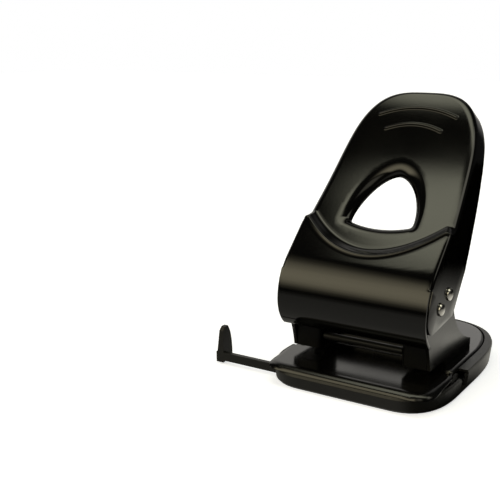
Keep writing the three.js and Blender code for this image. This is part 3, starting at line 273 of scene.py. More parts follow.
def makeFloor():
    # Paper that takes the object's shadow and glows evenly for the camera; in the gloss it shows a painted pool
    # of light and a painted shade beside the tray
    bm = bmesh.new()
    bmesh.ops.create_grid(bm, x_segments=2, y_segments=2, size=studio["floorSize"] / 2)
    floor = meshObject("floor", bm)
    floor.location.z = -studio["floorDrop"]
    material = bpy.data.materials.new("floorPaper")
    tree, nodes, links = nodeTree(material)
    output = nodes.new("ShaderNodeOutputMaterial")
    path = nodes.new("ShaderNodeLightPath")
    place = nodes.new("ShaderNodeTexCoord")
    split = nodes.new("ShaderNodeSeparateXYZ")
    links.new(place.outputs["Object"], split.inputs[0])
    x, y = split.outputs["X"], split.outputs["Y"]
    away = distanceFrom(tree, place.outputs["Object"], studio["poolCentre"])
    behind = rise(tree, y, *studio["poolRearY"])
    # Painted shade in the floor's gloss beside the tray, standing for the object's shadow
    paintedShadeBeside = product(
        tree, opposite(tree, rise(tree, x, *studio["shadeRightX"])), rise(tree, x, *studio["shadeLeftX"]),
        opposite(tree, rise(tree, y, *studio["shadeRearY"])), rise(tree, y, *studio["shadeFrontY"]))
    level = product(
        tree, softRamp(tree, away, studio["poolStops"]), opposite(tree, behind), opposite(tree, paintedShadeBeside))
    paper = nodes.new("ShaderNodeBsdfDiffuse")
    paper.inputs["Color"].default_value = studio["floorColour"]
    seen = product(tree, seenDirectly(tree, path), studio["floorGlow"])
    lit = addedTo(tree, paper.outputs[0], glowing(tree, "ShaderNodeEmission", pureWhite, seen))
    # In the gloss the floor glows with the painted pool of light, dimmed behind and by the painted shade
    inGloss = glowing(tree, "ShaderNodeEmission", studio["poolColour"], level)
    links.new(mixed(tree, path.outputs["Is Glossy Ray"], lit, inGloss), output.inputs["Surface"])
    floor.data.materials.append(material)


makeWorld()
makeFloor()
bpy.context.scene.view_settings.view_transform = "Standard"
print("studio ready")


# Materials
def startMaterial(name):
    material = bpy.data.materials.new(name)
    tree, nodes, links = nodeTree(material)
    output = nodes.new("ShaderNodeOutputMaterial")
    shader = nodes.new("ShaderNodeBsdfPrincipled")
    links.new(shader.outputs[0], output.inputs["Surface"])
    place = nodes.new("ShaderNodeTexCoord")
    return material, nodes, links, shader, place.outputs["Object"]


def noise(nodes, links, place, scale, detail, rough=0.5):
    texture = nodes.new("ShaderNodeTexNoise")
    texture.inputs["Scale"].default_value = scale
    texture.inputs["Detail"].default_value = detail
    texture.inputs["Roughness"].default_value = rough
    links.new(place, texture.inputs["Vector"])
    return texture.outputs["Fac"]


def ranged(nodes, links, value, low, high, fromLow=0.3, fromHigh=0.7):
    spread = nodes.new("ShaderNodeMapRange")
    spread.inputs["From Min"].default_value = fromLow
    spread.inputs["From Max"].default_value = fromHigh
    spread.inputs["To Min"].default_value = low
    spread.inputs["To Max"].default_value = high
    links.new(value, spread.inputs["Value"])
    return spread.outputs["Result"]


def twoTone(nodes, links, value, dark, light, fromLow=0.35, fromHigh=0.65):
    ramp = nodes.new("ShaderNodeValToRGB")
    ramp.color_ramp.elements[0].position = fromLow
    ramp.color_ramp.elements[1].position = fromHigh
    ramp.color_ramp.elements[0].color = (*dark, 1)
    ramp.color_ramp.elements[1].color = (*light, 1)
    links.new(value, ramp.inputs[0])
    return ramp.outputs[0]


def bump(nodes, links, height, distance, strength, under=None):
    node = nodes.new("ShaderNodeBump")
    node.inputs["Distance"].default_value = distance
    node.inputs["Strength"].default_value = strength
    links.new(height, node.inputs["Height"])
    if under is not None:
        links.new(under, node.inputs["Normal"])
    return node.outputs["Normal"]


def dress(links, shader, colour, rough, normal=None):
    links.new(colour, shader.inputs["Base Color"])
    links.new(rough, shader.inputs["Roughness"])
    if normal is not None:
        links.new(normal, shader.inputs["Normal"])


def makeBlackPaint(name, roughLow, roughHigh):
    # Sprayed enamel: nearly black, a slight orange peel, a few duller patches
    material, nodes, links, shader, place = startMaterial(name)
    broad = noise(nodes, links, place, scale=26, detail=4)
    fine = noise(nodes, links, place, scale=420, detail=2)
    colour = twoTone(nodes, links, broad, dark=(0.0009, 0.0009, 0.0008), light=(0.0017, 0.0016, 0.0013))
    peel = bump(nodes, links, fine, distance=0.00004, strength=0.1)
    waves = bump(nodes, links, broad, distance=0.0003, strength=0.04, under=peel)
    dress(links, shader, colour, ranged(nodes, links, broad, roughLow, roughHigh), waves)
    shader.inputs["IOR"].default_value = 1.5
    return material


def makeBlackPlastic():
    # Moulded plastic with a spark-eroded grain
    material, nodes, links, shader, place = startMaterial("blackPlastic")
    grain = noise(nodes, links, place, scale=1900, detail=2, rough=0.6)
    patches = noise(nodes, links, place, scale=45, detail=3)
    colour = twoTone(nodes, links, patches, dark=(0.0052, 0.0052, 0.005), light=(0.0078, 0.0077, 0.0072))
    pits = bump(nodes, links, grain, distance=0.0001, strength=0.2)
    dress(links, shader, colour, ranged(nodes, links, grain, low=0.36, high=0.48), pits)
    shader.inputs["Specular IOR Level"].default_value = 0.36
    return material


def makeMatteBlack(name, dark, light, specular):
    # Dull near-black steel with faint blotches; here it paints shade onto pieces in the shadow under the lever,
    # and colours the deck mark
    material, nodes, links, shader, place = startMaterial(name)
    cloud = noise(nodes, links, place, scale=90, detail=4)
    grain = noise(nodes, links, place, scale=1400, detail=2)
    pits = bump(nodes, links, grain, distance=0.00005, strength=0.15)
    colour = twoTone(nodes, links, cloud, dark, light)
    dress(links, shader, colour, ranged(nodes, links, cloud, low=0.34, high=0.5), pits)
    shader.inputs["Specular IOR Level"].default_value = specular
    return material


def makeMetal(name, dark, light, roughLow, roughHigh, scale, stretch, depth):
    # Metal whose fine scratches run along one direction of the piece
    material, nodes, links, shader, place = startMaterial(name)
    mapping = nodes.new("ShaderNodeMapping")
    mapping.inputs["Scale"].default_value = stretch
    links.new(place, mapping.inputs["Vector"])
    lines = noise(nodes, links, mapping.outputs[0], scale, detail=4, rough=0.6)
    cloud = noise(nodes, links, place, scale=130, detail=3)
    scratches = bump(nodes, links, lines, depth, strength=0.3)
    colour = twoTone(nodes, links, cloud, dark, light)
    dress(links, shader, colour, ranged(nodes, links, lines, roughLow, roughHigh), scratches)
    shader.inputs["Metallic"].default_value = 1.0
    return material


def makeNylon():
    material, nodes, links, shader, place = startMaterial("washerNylon")
    cloud = noise(nodes, links, place, scale=300, detail=2)
    colour = twoTone(nodes, links, cloud, dark=(0.62, 0.59, 0.5), light=(0.72, 0.69, 0.6))
    dress(links, shader, colour, ranged(nodes, links, cloud, low=0.4, high=0.55))
    return material


materials = {
    "black_paint": makeBlackPaint("blackPaint", roughLow=0.07, roughHigh=0.1),
    "black_plastic": makeBlackPlastic(),
    "bright_steel": makeMetal(
        "brightSteel", dark=(0.6, 0.585, 0.55), light=(0.74, 0.72, 0.68), roughLow=0.16, roughHigh=0.3,
        scale=900, stretch=(1, 1, 0.2), depth=0.00002),
    "zinc_steel": makeMetal(
        "zincSteel", dark=(0.42, 0.42, 0.4), light=(0.56, 0.56, 0.53), roughLow=0.34, roughHigh=0.52,
        scale=300, stretch=(1, 1, 1), depth=0.00004),
    "spring_steel": makeMetal(
        "springSteel", dark=(0.36, 0.36, 0.35), light=(0.5, 0.5, 0.48), roughLow=0.25, roughHigh=0.4,
        scale=700, stretch=(1, 1, 0.3), depth=0.00002),
    "washer_nylon": makeNylon(),
}
slotOf = {row["node"]: row["material_slot"] for row in frame["record"]["subparts"]}
bodyOf = {node: body for body, nodes in frame["record"]["behaviour"]["bodies"].items() for node in nodes}

# Some pieces are darker or duller than the finish of their slot. The punch housings, tie rod and die plate are
# darkened and dulled as painted shade for the shadow they sit in under the lever; the rivets are simply made
# dark
# Painted shade: near-black and dull for the punch housings in the shadow under the lever; the deck mark takes
# the same black as its own colour
paintedShadeHousingAndMark = makeMatteBlack(
    "paintedShadeHousingAndMark", dark=(0.0012, 0.0012, 0.001), light=(0.0026, 0.0025, 0.0022), specular=0.12)
# Painted shade: near-black and dull for the tie rod and die plate in the shadow under the lever
paintedShadeSteel = makeMatteBlack(
    "paintedShadeSteel", dark=(0.004, 0.004, 0.0037), light=(0.009, 0.0088, 0.008), specular=0.22)
satinPaint = makeBlackPaint("satinPaint", roughLow=0.14, roughHigh=0.2)
plateSatin = makeBlackPaint("plateSatin", roughLow=0.2, roughHigh=0.27)
darkRivet = makeMetal(
    "darkRivet", dark=(0.07, 0.068, 0.062), light=(0.13, 0.127, 0.12), roughLow=0.14, roughHigh=0.26,
    scale=700, stretch=(1, 1, 1), depth=0.00002)
ownFinish = {
    "tie_rod": paintedShadeSteel, "die_plate": paintedShadeSteel, "base_plate": satinPaint, "paper_stop": satinPaint}
for side in ("left", "right"):
    ownFinish[f"punch_housing_{side}"] = paintedShadeHousingAndMark
    ownFinish[f"side_plate_{side}"] = plateSatin
    ownFinish[f"deck_rivet_{side}"] = darkRivet
    ownFinish[f"foot_rivet_{side}_front"] = darkRivet
    ownFinish[f"foot_rivet_{side}_rear"] = darkRivet


def finishOf(nodeName):
    return ownFinish.get(nodeName, materials[slotOf[nodeName]])


print("materials ready")

# Helpers for every piece
weldGap = {"fine": 0.002, "sheet": 0.003, "copy": 0.004, "apron": 0.02}
rounded = {"segments": 2, "angle": 35, "flatAngle": 0.6, "normalWeight": 80}


def weld(bm, kind):
    bmesh.ops.remove_doubles(bm, verts=bm.verts, dist=weldGap[kind] * mm)


def addPiece(name, bm, nodeName, smoothAngle=None):
    # Turns a bmesh into the piece that stands for a node of the frame
    piece = meshObject(name, bm)
    piece.data.shade_smooth()
    if smoothAngle is not None:
        piece.data.set_sharp_from_angle(angle=math.radians(smoothAngle))
    piece.data.materials.append(finishOf(nodeName))
    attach(piece, bodyOf[nodeName])
    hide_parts(nodeName)
    return piece


def addBevel(piece, width, angle):
    bevel = piece.modifiers.new("edges", "BEVEL")
    bevel.width = width * mm
    bevel.segments = rounded["segments"]
    bevel.limit_method = "ANGLE"
    bevel.angle_limit = math.radians(angle)


def softened(nodeName, width):
    # A copy of a node of the frame with its flat faces joined and its edges rounded
    bm = bmesh.new()
    bm.from_mesh(frame["nodes"][nodeName].data)
    weld(bm, "copy")
    bmesh.ops.dissolve_limit(
        bm, angle_limit=math.radians(rounded["flatAngle"]), verts=bm.verts, edges=bm.edges,
        use_dissolve_boundaries=False)
    piece = addPiece(f"{nodeName}_piece", bm, nodeName)
    addBevel(piece, width, rounded["angle"])
    weighted = piece.modifiers.new("flats", "WEIGHTED_NORMAL")
    weighted.keep_sharp = True
    weighted.weight = rounded["normalWeight"]


def extrudeRing(bm, ring, places):
    # Adds a closed ring of points at the places and joins it to the ring before with a band of faces.
    # It is built face by face, because Blender's extrude and spin order their faces anew on each run
    following = [bm.verts.new(place, vert) for vert, place in zip(ring, places)]
    for i, vert in enumerate(ring):
        bm.faces.new((ring[i - 1], vert, following[i], following[i - 1]))
    return following


def turnedAlongX(profile, centre, steps):
    # Turns a profile of (radius, place along X) in mm about a line along X through the centre
    bm = bmesh.new()
    turns = [i / steps * math.tau for i in range(steps)]
    rings = [[(centre + Vector((a, r * math.sin(t), r * math.cos(t)))) * mm for t in turns] for r, a in profile]
    ring = [bm.verts.new(place) for place in rings[0]]
    for places in rings[1:]:
        ring = extrudeRing(bm, ring, places)
    weld(bm, "fine")
    bmesh.ops.recalc_face_normals(bm, faces=bm.faces)
    return bm


def domePoints(radius, height, base, rim, steps):
    # From the rim of a rivet head up to its top, with a short upright rim
    points = [(radius, base), (radius, base + rim)]
    for step in range(1, steps + 1):
        angle = step / steps * math.pi / 2
        points.append((radius * math.cos(angle), base + rim + (height - rim) * math.sin(angle)))
    return points


# Lever: one pressed sheet, built on a grid that is laid over the sheet's form
lever = {
    "sheetT": 2.1,
    "halfW": 54.1,
    "lean": math.radians(46.5),
    "apronFrontY": -37.0,
    "bulgeZ": 58.0,
    "upperR": 40.0,
    "lowerR": 25.0,
    "lipZ": 38.3,
    "sideGap": 0.7,
    "ridgeZ": 110.0,
    "slitDrop": 44.0,
    "smileSag": 25.5,
    "smileLowS": -27.3,
    "stepDepth": 4.0,
    "stepWidth": 9.6,
    "ridgeRise": 0.55,
    "ridgeAt": 0.13,
    "ridgeSpread": 0.1,
    "lowerBendR": 2.8,
    "upperBendR": 5.2,
    "bendGrowS": 14.0,
    "curlStartS": 20.0,
    "curlR": 490.0,
    "curlEndS": 85.0,
    "curlBackR": 560.0,
    "capStartS": 45.0,
    "topS": 118.2,
    "taper": 0.076,
    "capPower": 3.25,
    "capSpacing": 1.5,
    "capProbe": 0.004,
    "flare": math.radians(9),
    "flareFromS": -10.0,
    "flareFullS": 110.0,
    "flangeLowS": -30.0,
    "flangeLowD": 49.0,
    "flangeShares": [1, 0.95, 0.9, 0.83, 0.735, 0.643, 0.55, 0.49, 0.455, 0.43, 0.4],
    "fanInset": 4.5,
    "opening": {
        "halfW": 29.5, "midS": 8.0, "topS": 55.5, "bottomS": -7.0, "sag": 5.0,
        "cornerR": 6.0, "cornerSag": 0.8},
    "rollR": 6.8,
    "rollSteps": 9,
    "rollTopShare": 1.3,
    "rollBottomShare": 1.2,
    "archPinch": 0.3,
    "beads": [(101.4, 28.8, 6.8), (87.2, 20.5, 4.8)],  # place along the sheet, half width, sag
    "beadProud": 1.0,
    "beadHalfW": 1.7,
    "edgeW": 0.3,
    "edgeAngle": 50,
    "apronBelowZ": 70.0,
}
ear = {
    "apronGap": 0.7, "apronSteps": 8, "frontR": 10.5, "frontTurn": 76, "frontSteps": 12,
    "rearTip": (6.0, 51.3), "tipReach": 0.05, "slack": 0.01}
columns = {"flat": 42, "bend": 9, "flange": 5}
rows = {"straight": 12, "step": 26, "panel": 26, "cap": 74, "apron": 30}
openingSteps = {"sill": 18, "corner": 12, "side": 4, "arch": 40}
# Where the grid is cleared for the opening, and where and how often it is divided for the beads
clearing = {"margin": 3.0, "reachS": 8, "reachX": 40, "middleS": 22, "depth": 4, "radius": 46}
beadGrid = {"passes": ((3.4, 2), (2.6, 1)), "fromZ": 165.0, "halfW": 34.0, "reach": 3}
lean = lever["lean"]
lineBottomZ = lever["bulgeZ"] + lever["upperR"] * math.sin(lean)
lineBottomY = lever["apronFrontY"] + lever["upperR"] * (1 - math.cos(lean))
lineBottomS = -(lever["ridgeZ"] - lineBottomZ) / math.cos(lean)
lineTopY = lineBottomY - lineBottomS * math.sin(lean)


def smoothShare(share):
    held = min(max(share, 0.0), 1.0)
    return held * held * (3 - 2 * held)


def sheetLine(s):
    # Y, Z and lean of the sheet's outer face at s, counted upwards from the ridge's ends
    if s < lineBottomS:
        angle = lean - (lineBottomS - s) / lever["upperR"]
        r = lever["upperR"]
        return lever["apronFrontY"] + r - r * math.cos(angle), lever["bulgeZ"] + r * math.sin(angle), angle
    if s <= lever["curlStartS"]:
        return lineTopY + s * math.sin(lean), lever["ridgeZ"] + s * math.cos(lean), lean
    turn = (min(s, lever["curlEndS"]) - lever["curlStartS"]) / lever["curlR"]
    startY = lineTopY + lever["curlStartS"] * math.sin(lean)
    startZ = lever["ridgeZ"] + lever["curlStartS"] * math.cos(lean)
    y = startY + lever["curlR"] * (math.cos(lean - turn) - math.cos(lean))
    z = startZ + lever["curlR"] * (math.sin(lean) - math.sin(lean - turn))
    angle = lean - turn
    if s > lever["curlEndS"]:  # the top leans back again a little
        back = angle + (s - lever["curlEndS"]) / lever["curlBackR"]
        y += lever["curlBackR"] * (math.cos(angle) - math.cos(back))
        z += lever["curlBackR"] * (math.sin(back) - math.sin(angle))
        angle = back
    return y, z, angle


def onSheet(x, s, depth):
    # A point at x and s, lying deep behind the outer face
    y, z, angle = sheetLine(s)
    return Vector((x, y + depth * math.cos(angle), z - depth * math.sin(angle))) * mm


def onFlange(x, s, depth):
    # Below the straight part of the sheet the flange fans out from one point of its rear edge
    if s >= lineBottomS:
        return onSheet(x, s, depth)
    share = 1 - depth / lever["flangeLowD"]
    return onSheet(x, lineBottomS, depth) + (onSheet(x, s, 0) - onSheet(x, lineBottomS, 0)) * share


def stepBack(v):
    # How far the sheet steps back above the smile, less the small rib along it
    across = (v - lever["smileLowS"]) / lever["stepWidth"]
    ridge = lever["ridgeRise"] * math.exp(-(((across - lever["ridgeAt"]) / lever["ridgeSpread"]) ** 2))
    return lever["stepDepth"] * smoothShare(across) - ridge


def smileShare(v):
    # How much of the smile's sag a row has, by its height in the middle
    low = lever["smileLowS"]
    if v < low:
        return smoothShare((v + lever["slitDrop"]) / (low + lever["slitDrop"]))
    high = low + lever["stepWidth"]
    return 1 - smoothShare((v - high) / (lever["capStartS"] - high))


def bendR(s):
    grown = smoothShare((s + lever["bendGrowS"] / 2) / lever["bendGrowS"])
    return lever["lowerBendR"] + (lever["upperBendR"] - lever["lowerBendR"]) * grown


def sideX(s):
    # Half the sheet's width, rounded in towards the top
    full = lever["halfW"] - max(0.0, s) * lever["taper"]
    up = max(0.0, (s - lever["capStartS"]) / (lever["topS"] - lever["capStartS"]))
    return full * max(0.0, 1 - up ** lever["capPower"]) ** (1 / lever["capPower"])


def flangeDepth(s):
    shares = lever["flangeShares"]
    last = len(shares) - 1
    place = min(max((s - lever["flangeLowS"]) / (lever["topS"] - lever["flangeLowS"]), 0), 1) * last
    below = min(int(place), last - 1)
    return lever["flangeLowD"] * (shares[below] + (shares[below + 1] - shares[below]) * (place - below))


def splay(s):
    # The flanges stand square beside the axles and splay out towards the handle's top
    share = (s - lever["flareFromS"]) / (lever["flareFullS"] - lever["flareFromS"])
    return lever["flare"] * smoothShare(share)


def beadAway(x, s):
    # Distance from the nearest finger bead's middle line, with the bead's end taken as round
    nearest = math.inf
    for middleS, halfW, sag in lever["beads"]:
        along = min(abs(x), halfW)
        lineS = middleS - sag * (along / halfW) ** 2
        slope = 2 * sag * along / halfW ** 2
        away = math.hypot((s - lineS) / math.hypot(1, slope), max(0.0, abs(x) - halfW))
        nearest = min(nearest, away)
    return nearest


def beadHeight(x, s):
    share = beadAway(x, s) / lever["beadHalfW"]
    return lever["beadProud"] * (1 - smoothShare(share)) if share < 1 else 0.0


def straightRow(v):
    edgeS = v + lever["smileSag"] * smileShare(v)
    return {
        "middleS": v, "edgeX": sideX(edgeS), "edgeS": edgeS, "outX": 1.0, "outS": 0.0,
        "back": stepBack(v),
    }


def capRow(share):
    reach = lever["topS"] - lever["capStartS"]
    angle = math.pi / 2 * share ** lever["capSpacing"]

    def edgeAt(a):
        s = lever["capStartS"] + reach * math.sin(a) ** (2 / lever["capPower"])
        return (lever["halfW"] - s * lever["taper"]) * max(0.0, math.cos(a)) ** (2 / lever["capPower"]), s

    edgeX, edgeS = edgeAt(angle)
    outX, outS = 1.0, 0.0
    if share >= 1:
        edgeX, outX, outS = 0.0, 0.0, 1.0
    elif share > 0:
        x0, s0 = edgeAt(max(angle - lever["capProbe"], 0.0))
        x1, s1 = edgeAt(min(angle + lever["capProbe"], math.pi / 2))
        length = math.hypot(x1 - x0, s1 - s0)
        outX, outS = (s1 - s0) / length, (x0 - x1) / length
    lastS = lever["topS"] - lever["upperBendR"] - lever["fanInset"]
    middleS = lever["capStartS"] + (lastS - lever["capStartS"]) * math.sin(math.pi / 2 * share)
    return {
        "middleS": middleS, "edgeX": edgeX, "edgeS": edgeS, "outX": outX, "outS": outS,
        "back": lever["stepDepth"],
    }


def rowPoint(row, column):
    # x, s and depth of one point, counted from the middle column outwards
    r = bendR(row["edgeS"])
    full = math.pi / 2 - splay(row["edgeS"])
    tangentX = row["edgeX"] - r * row["outX"]
    tangentS = row["edgeS"] - r * row["outS"]
    if column <= columns["flat"]:
        share = column / columns["flat"]
        x = tangentX * share
        s = row["middleS"] + (tangentS - row["middleS"]) * share ** 2
        return x, s, row["back"]
    if column <= columns["flat"] + columns["bend"]:
        angle = (column - columns["flat"]) / columns["bend"] * full
        reach = r * math.sin(angle)
        depth = row["back"] + r * (1 - math.cos(angle))
        return tangentX + reach * row["outX"], tangentS + reach * row["outS"], depth
    share = (column - columns["flat"] - columns["bend"]) / columns["flange"]
    start = row["back"] + r * (1 - math.cos(full))
    rim = max(flangeDepth(row["edgeS"]), row["back"] + r + lever["sheetT"])
    depth = start + (rim - start) * share
    reach = r * math.sin(full) + (depth - start) / math.tan(full)
    return tangentX + reach * row["outX"], tangentS + reach * row["outS"], depth


def sheetRows():
    low = lever["smileLowS"]
    high = low + lever["stepWidth"]
    made = []
    for i in range(rows["straight"]):
        made.append(straightRow(-lever["slitDrop"] + (low + lever["slitDrop"]) * i / rows["straight"]))
    for i in range(rows["step"]):
        made.append(straightRow(low + lever["stepWidth"] * i / rows["step"]))
    for i in range(rows["panel"]):
        made.append(straightRow(high + (lever["capStartS"] - high) * i / rows["panel"]))
    for i in range(rows["cap"] + 1):
        made.append(capRow(i / rows["cap"]))
    return made


def openingLoop(inset):
    # The opening's outline as (x, s), drawn in by the inset
    size = lever["opening"]
    halfW = size["halfW"] - inset
    topS = size["topS"] - inset * lever["rollTopShare"]
    bottomS = size["bottomS"] + inset * lever["rollBottomShare"]
    power = 2 - lever["archPinch"] * max(0, inset / lever["rollR"])
    sag = size["sag"] * halfW / size["halfW"]
    cornerR = max(size["cornerR"] - inset / 2, size["cornerR"] / 3)
    right = []

    def curve(start, pull, end, count):
        for i in range(count):
            t = i / count
            right.append(tuple(
                (1 - t) ** 2 * a + 2 * t * (1 - t) * b + t * t * c for a, b, c in zip(start, pull, end)))

    corner = (halfW - cornerR, bottomS + sag * size["cornerSag"])
    side = (halfW, bottomS + sag + cornerR)
    curve((0, bottomS), (corner[0] / 2, bottomS), corner, openingSteps["sill"])
    curve(corner, (halfW, bottomS + sag), side, openingSteps["corner"])
    curve(side, (halfW, (side[1] + size["midS"]) / 2), (halfW, size["midS"]), openingSteps["side"])
    for i in range(openingSteps["arch"]):
        angle = i / openingSteps["arch"] * math.pi / 2
        upS = (topS - size["midS"]) * math.sin(angle) ** (2 / power)
        right.append((halfW * math.cos(angle) ** (2 / power), size["midS"] + upS))
    left = [(-x, s) for x, s in reversed(right[1:])]
    return right + [(0, topS)] + left


def insideLoop(x, s, loop):
    inside = False
    for (x0, s0), (x1, s1) in zip(loop, loop[1:] + loop[:1]):
        if (s0 > s) != (s1 > s) and x < (x1 - x0) * (s - s0) / (s1 - s0) + x0:
            inside = not inside
    return inside


def laySheet():
    # The grid from the slits up over the handle's top; flatX and flatS keep each point's x and s
    bm = bmesh.new()
    half = columns["flat"] + columns["bend"] + columns["flange"]
    made = sheetRows()
    bmesh.ops.create_grid(bm, x_segments=2 * half, y_segments=len(made) - 1, size=1)
    flatX = bm.verts.layers.float.new("flatX")
    flatS = bm.verts.layers.float.new("flatS")
    lastRow = len(made) - 1
    for vert in bm.verts:
        column = round((vert.co.x + 1) / 2 * 2 * half) - half
        row = made[round((vert.co.y + 1) / 2 * lastRow)]
        x, s, depth = rowPoint(row, abs(column))
        x = math.copysign(x, column)
        vert[flatX] = x
        vert[flatS] = s
        beyondBend = abs(column) > columns["flat"] + columns["bend"]
        vert.co = onFlange(x, s, depth) if beyondBend else onSheet(x, s, depth)
    weld(bm, "sheet")
    return bm, flatX, flatS


def flatMiddle(face, flatX, flatS):
    count = len(face.verts)
    return sum(v[flatX] for v in face.verts) / count, sum(v[flatS] for v in face.verts) / count


def cutOpening(bm, flatX, flatS):
    # Clears the grid round the opening, then rolls the sheet in round its edge
    cleared = openingLoop(-clearing["margin"])
    low = lever["opening"]["bottomS"] - clearing["reachS"]
    high = lever["opening"]["topS"] + clearing["reachS"]
    doomed = []
    for face in bm.faces:
        x, s = flatMiddle(face, flatX, flatS)
        if abs(x) < clearing["reachX"] and low < s < high and insideLoop(x, s, cleared):
            doomed.append(face)
    bmesh.ops.delete(bm, geom=doomed, context="FACES")
    hole = []
    middle = onSheet(0, clearing["middleS"], clearing["depth"])
    for edge in bm.edges:
        if len(edge.link_faces) == 1:
            near = (edge.verts[0].co - middle).length < clearing["radius"] * mm
            if near and all(abs(v[flatX]) < clearing["reachX"] and low < v[flatS] < high for v in edge.verts):
                hole.append(edge)
    loop = openingLoop(0)
    ring = [bm.verts.new(onSheet(x, s, lever["stepDepth"])) for x, s in loop]
    edges = [bm.edges.new(pair) for pair in zip(ring, ring[1:] + ring[:1])]
    bmesh.ops.triangle_fill(bm, use_beauty=True, use_dissolve=False, edges=hole + edges)
    for i in range(1, lever["rollSteps"] + 1):
        angle = i / lever["rollSteps"] * math.pi / 2
        inset = lever["rollR"] * math.sin(angle)
        depth = lever["stepDepth"] + lever["rollR"] * (1 - math.cos(angle))
        ring = extrudeRing(bm, ring, [onSheet(x, s, depth) for x, s in openingLoop(inset)])


def hangApron(bm):
    # The curled apron below the slits, hung from the flat columns of the lowest row
    lowest = -lever["slitDrop"]
    edgeX = rowPoint(straightRow(lowest), columns["flat"])[0]
    halfW = lever["halfW"] - lever["sideGap"]
    topAngle = lean - (lineBottomS - lowest) / lever["upperR"]
    lipAngle = math.asin((lever["bulgeZ"] - lever["lipZ"]) / lever["lowerR"])
    upperShare = topAngle * lever["upperR"] / (topAngle * lever["upperR"] + lipAngle * lever["lowerR"])
    across = columns["flat"] + 1
    bmGrid = bmesh.new()
    bmesh.ops.create_grid(bmGrid, x_segments=2 * across, y_segments=rows["apron"], size=1)
    for vert in bmGrid.verts:
        column = round((vert.co.x + 1) * across) - across
        share = 1 - round((vert.co.y + 1) / 2 * rows["apron"]) / rows["apron"]
        x = math.copysign(halfW if abs(column) == across else edgeX * abs(column) / columns["flat"], column)
        if share <= upperShare:
            r, angle = lever["upperR"], topAngle * (1 - share / upperShare)
        else:
            r, angle = lever["lowerR"], -lipAngle * (share - upperShare) / (1 - upperShare)
        y = lever["apronFrontY"] + r - r * math.cos(angle)
        z = lever["bulgeZ"] + r * math.sin(angle)
        vert.co = Vector((x, y, z)) * mm
    mesh = bpy.data.meshes.new("apronPart")
    bmGrid.to_mesh(mesh)
    bmGrid.free()
    bm.from_mesh(mesh)
    bpy.data.meshes.remove(mesh)
    weld(bm, "apron")


def hangEars(bm, flatS):
    # Below the slits each flange runs on in a lobe that carries both axles
    for side in (-1, 1):
        x = side * lever["halfW"] * mm
        tip = onSheet(side * lever["halfW"], lineBottomS, lever["flangeLowD"])

        def onSlit(vert):
            low = vert[flatS] < ear["slack"] - lever["slitDrop"]
            atTip = (vert.co - tip).length < ear["tipReach"] * mm
            return abs(vert.co.x - x) < ear["slack"] * mm and (low or atTip)

        free = [e for e in bm.edges if len(e.link_faces) == 1 and all(onSlit(v) for v in e.verts)]
        ends = sorted({v for e in free for v in e.verts}, key=lambda v: (v.co.y, v.co.z))
        front, rear = ends[0], ends[-1]
        outline = []
        r = lever["upperR"] - lever["sheetT"] - ear["apronGap"]
        startAngle = lean - (lineBottomS + lever["slitDrop"]) / lever["upperR"]
        for i in range(1, ear["apronSteps"] + 1):
            angle = startAngle * (1 - i / ear["apronSteps"])
            y = lever["apronFrontY"] + lever["upperR"] - r * math.cos(angle)
            outline.append(Vector((y, lever["bulgeZ"] + r * math.sin(angle))))
        r = ear["frontR"]
        middle = outline[-1] + Vector((r, 0))
        for i in range(1, ear["frontSteps"] + 1):
            angle = math.pi + i / ear["frontSteps"] * math.radians(ear["frontTurn"])
            outline.append(middle + Vector((math.cos(angle), math.sin(angle))) * r)
        outline.append(Vector(ear["rearTip"]))
        chain = [front] + [bm.verts.new((x, p.x * mm, p.y * mm)) for p in outline] + [rear]
        edges = [bm.edges.new(pair) for pair in zip(chain, chain[1:])]
        bmesh.ops.triangle_fill(
            bm, use_beauty=True, use_dissolve=False, edges=free + edges, normal=(side, 0, 0))


def pressBeads(bm, flatX, flatS):
    # Divides the grid finely round the finger beads and lifts them out of the sheet
    for reach, cuts in beadGrid["passes"]:
        near = set()
        for face in bm.faces:
            middle = face.calc_center_median()
            if middle.z < beadGrid["fromZ"] * mm or abs(middle.x) > beadGrid["halfW"] * mm:
                continue
            if beadAway(*flatMiddle(face, flatX, flatS)) < reach:
                near.update(face.edges)
        bmesh.ops.subdivide_edges(bm, edges=list(near), cuts=cuts, use_grid_fill=True)
    for vert in bm.verts:
        x, s = vert[flatX], vert[flatS]
        if vert.co.z > beadGrid["fromZ"] * mm and beadAway(x, s) < beadGrid["reach"]:
            vert.co = onSheet(x, s, lever["stepDepth"] - beadHeight(x, s))


bm, flatX, flatS = laySheet()
pressBeads(bm, flatX, flatS)
cutOpening(bm, flatX, flatS)
hangEars(bm, flatS)
hangApron(bm)
weld(bm, "sheet")
bmesh.ops.recalc_face_normals(bm, faces=bm.faces)
# The apron looks forwards, which tells whether the faces have to be turned round
apronFaces = [f for f in bm.faces if f.calc_center_median().z < lever["apronBelowZ"] * mm]
backwards = sum((f.normal.y for f in apronFaces), 0.0)
if backwards > 0:
    bmesh.ops.reverse_faces(bm, faces=bm.faces)
leverPiece = addPiece("lever_sheet", bm, "lever")
wall = leverPiece.modifiers.new("sheet", "SOLIDIFY")
wall.thickness = lever["sheetT"] * mm
wall.offset = -1
wall.use_even_offset = False
wall.use_quality_normals = True
addBevel(leverPiece, lever["edgeW"], lever["edgeAngle"])
print("lever ready")

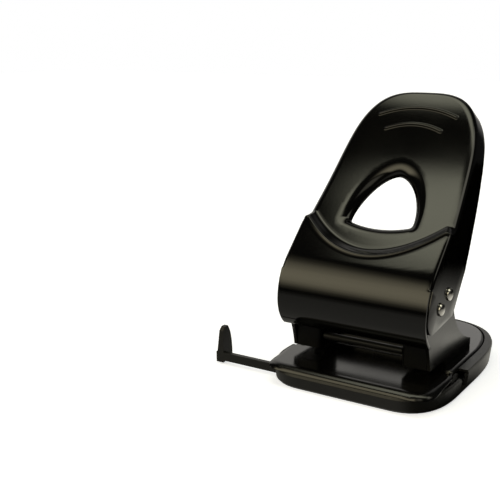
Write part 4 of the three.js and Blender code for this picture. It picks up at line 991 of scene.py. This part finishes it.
# Axles: a shank riveted over at both ends
axles = {
    "pivot_axle": (-14.0, 61.9),
    "drive_axle": (0.1, 68.7),
}
rivet = {
    "shankR": 3.5, "headR": 4.4, "headH": 2.3, "rim": 0.5, "faceX": 54.4,
    "steps": 48, "domeSteps": 8, "smoothAngle": 40}
for nodeName, (y, z) in axles.items():
    head = domePoints(rivet["headR"], rivet["headH"], rivet["faceX"], rivet["rim"], rivet["domeSteps"])
    other = [(r, -a) for r, a in reversed(head)]
    shank = [(rivet["shankR"], -rivet["faceX"]), (rivet["shankR"], rivet["faceX"])]
    bm = turnedAlongX(other + shank + head, Vector((0, y, z)), rivet["steps"])
    addPiece(f"{nodeName}_piece", bm, nodeName, rivet["smoothAngle"])
print("axles ready")

# Most other pieces keep the frame's shape, with rounded edges
roundings = {
    "base_shell": 0.2, "chip_drawer": 0.4, "base_plate": 0.2, "die_plate": 0.4, "paper_stop": 0.3,
    "paper_guide": 0.5, "side_plate_left": 0.35, "side_plate_right": 0.35,
    "punch_housing_left": 0.3, "punch_housing_right": 0.3, "stripper_left": 0.3, "stripper_right": 0.3,
    "upper_guide_left": 0.3, "upper_guide_right": 0.3,
}
for nodeName, width in roundings.items():
    softened(nodeName, width)

# The return springs, which shorten as the pins go down, are copied from the frame, each with a mesh of its own
spring = {"seatZ": 38.5, "travel": 11.6, "smoothAngle": 60}
springs = ("return_spring_left", "return_spring_right")
for nodeName in springs:
    bm = bmesh.new()
    bm.from_mesh(frame["nodes"][nodeName].data)
    weld(bm, "fine")
    piece = addPiece(f"{nodeName}_piece", bm, nodeName, spring["smoothAngle"])
    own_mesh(piece)

# What is left is shown as the frame has it
for nodeName, node in frame["nodes"].items():
    if nodeName in roundings or nodeName in axles or nodeName in springs or nodeName == "lever":
        continue
    node.data.materials.clear()
    node.data.materials.append(finishOf(nodeName))
print("frame pieces ready")

# A small outlined triangle stands just proud of the deck between the housings
deckMark = {"corners": [(0.2, 7.0), (6.9, 7.0), (4.7, -1.4)], "width": 0.55, "proud": 0.12, "deckZ": 15.0}
corners = deckMark["corners"]
bm = bmesh.new()
for first, second in zip(corners, corners[1:] + corners[:1]):
    run = Vector(second) - Vector(first)
    middle = (Vector(first) + Vector(second)) / 2
    size = (run.length + deckMark["width"], deckMark["width"], deckMark["proud"] * 2, 1)
    where = Matrix.Translation(Vector((middle.x, middle.y, deckMark["deckZ"])) * mm)
    spin = Matrix.Rotation(math.atan2(run.y, run.x), 4, "Z")
    bmesh.ops.create_cube(bm, size=mm, matrix=where @ spin @ Matrix.Diagonal(size))
mark = meshObject("deck_mark", bm)
# The deck mark's dark lines are its own colour, shared with the housings' painted shade
mark.data.materials.append(paintedShadeHousingAndMark)
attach(mark, "frame")
print("deck mark ready")
